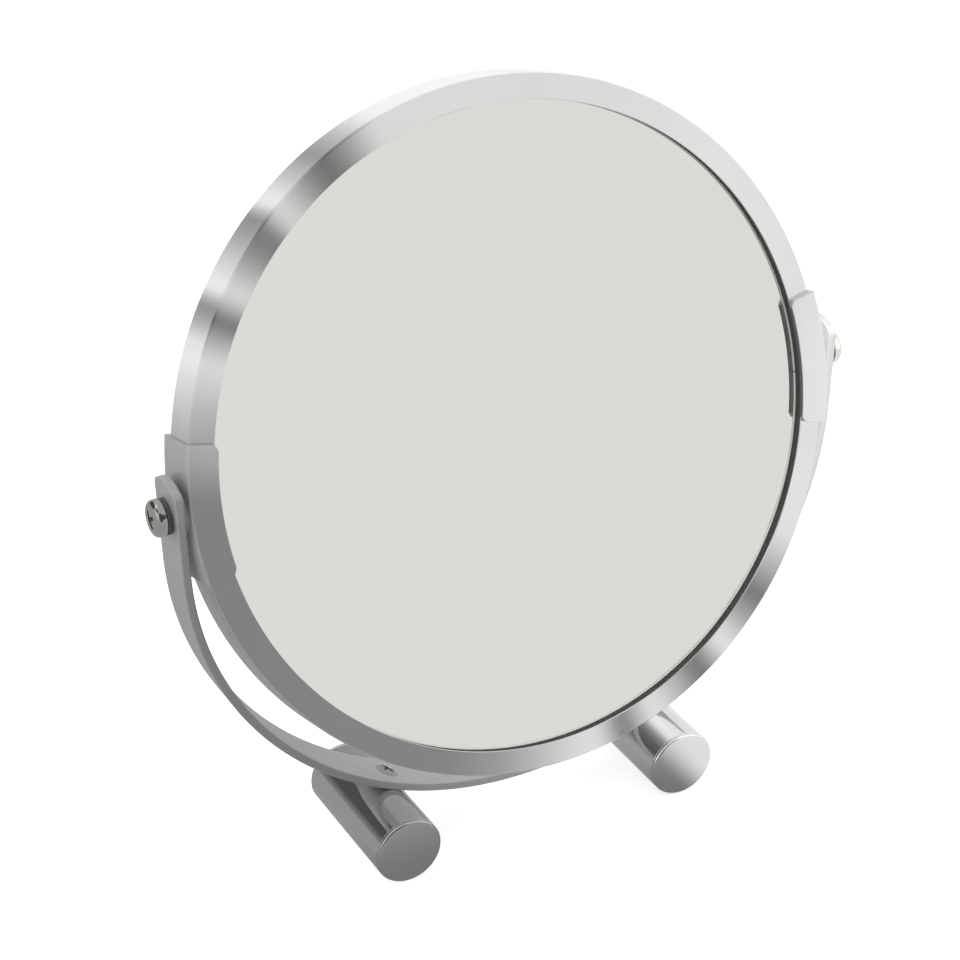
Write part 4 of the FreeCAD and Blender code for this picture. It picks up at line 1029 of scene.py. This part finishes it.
glow(ball_mesh("tent_ring", 2300.0), ring_tone, group("lit_ring", is_ring))
glow(ball_mesh("tent_glass", 2350.0), glass_tone, group("lit_glass", is_glass))
glow(ball_mesh("tent_foot_left", 2400.0, (0.0, 0.0, FZ)), foot_tone(FOOT_LEFT, 0.62), group("lit_foot_left", is_left_foot))
glow(ball_mesh("tent_foot_right", 2450.0, (0.0, 0.0, FZ)), foot_tone(FOOT_RIGHT, 1.25), group("lit_foot_right", is_right_foot))
glow(ball_mesh("tent_rest", 2500.0), rest_tone, group("lit_rest", is_rest))
glow(ball_mesh("tent_screw", 80.0, (-94.0, 0.0, PIVOT_Z)), screw_tone, group("lit_screw", is_left_screw))
for side, test, h in (("left", is_left_foot, 0.12), ("right", is_right_foot, 0.15)):
    table = add_object("tent_table_" + side, [(-2200, -2200, h), (2200, -2200, h), (2200, 2200, h), (-2200, 2200, h)], [(0, 1, 2, 3)], Matrix.Identity(4))
    glow(table, table_tone(side == "right"), group("lit_table_" + side, test))


def spot(name, at, to, watts, cone, soft):
    """A gridded lamp that polished surfaces do not show."""
    l = bpy.data.lights.new(name, "SPOT")
    l.energy = watts
    l.spot_size = math.radians(cone)
    l.spot_blend = 0.8
    l.shadow_soft_size = soft
    ob = bpy.data.objects.new(name, l)
    scene.collection.objects.link(ob)
    ob.location = at
    d = Vector(to) - Vector(at)
    ob.rotation_euler = d.to_track_quat("-Z", "Y").to_euler()
    ob.visible_glossy = False
    return ob


# lamps for the lacquered pieces: the front of the right block and bow, the
# inside of the bow's right leg and its tip, the top of the left block and
# its outer face behind the bow
through = bpy.data.collections.new("shade_none")
through.objects.link(floor)
for name, at, aim, watts, cone, soft, test in (
        ("lamp_right", (0.25, -0.42, 0.55), (0.100, 0.0, 0.085), 44.0, 18.0, 0.06, lambda nm: nm.startswith("pivot_clip_right")),
        ("lamp_bow", (0.25, -0.42, 0.55), (0.100, 0.0, 0.085), 33.0, 18.0, 0.06, lambda nm: nm.startswith("bow_strip")),
        ("lamp_tip", (-0.60, -0.05, 0.20), (0.092, 0.0, 0.119), 14.0, 4.5, 0.003, lambda nm: nm.startswith("bow_strip")),
        ("lamp_leg", (-0.50, -0.35, 0.34), (0.098, 0.0, 0.090), 30.0, 15.0, 0.06, lambda nm: nm.startswith("bow_strip")),
        ("lamp_left", (-0.25, -0.50, 0.35), (-0.073, 0.0, 0.146), 11.0, 7.0, 0.003, lambda nm: nm.startswith("pivot_clip_left")),
        ("lamp_gap", (-0.60, 0.06, 0.13), (-0.088, 0.0, 0.097), 2.7, 4.0, 0.003, lambda nm: nm.startswith("pivot_clip_left"))):
    lamp = spot(name, at, aim, watts, cone, soft)
    lamp.light_linking.receiver_collection = group("lit_" + name, test)
    lamp.light_linking.blocker_collection = through

# ------------------------------------------------------------------ camera
AZ, EL = math.radians(-28.190), math.radians(29.493)
cam_data = bpy.data.cameras.new("camera")
cam = bpy.data.objects.new("camera", cam_data)
scene.collection.objects.link(cam)
cam_data.sensor_fit = "AUTO"
cam_data.sensor_width = 36.0
cam_data.lens = 2868.74 / 960.0 * 36.0
cam_data.clip_start = 0.01
cam_data.clip_end = 50.0
back = Vector((math.sin(AZ) * math.cos(EL), -math.cos(AZ) * math.cos(EL), math.sin(EL)))
right = Vector((math.cos(AZ), math.sin(AZ), 0.0))
up = back.cross(right)
# the pivot's place in the camera: right, down and ahead, in metres
ahead = Vector((0.08772, -0.14822, 8.07936)) * 0.0875
pivot = Vector((0.0, 0.0, PIVOT_Z * MM))
eye = pivot - right * ahead.x + up * ahead.y + back * ahead.z
rot = Matrix((right, up, back)).transposed()
cam.matrix_world = Matrix.Translation(eye) @ rot.to_4x4()
scene.camera = cam
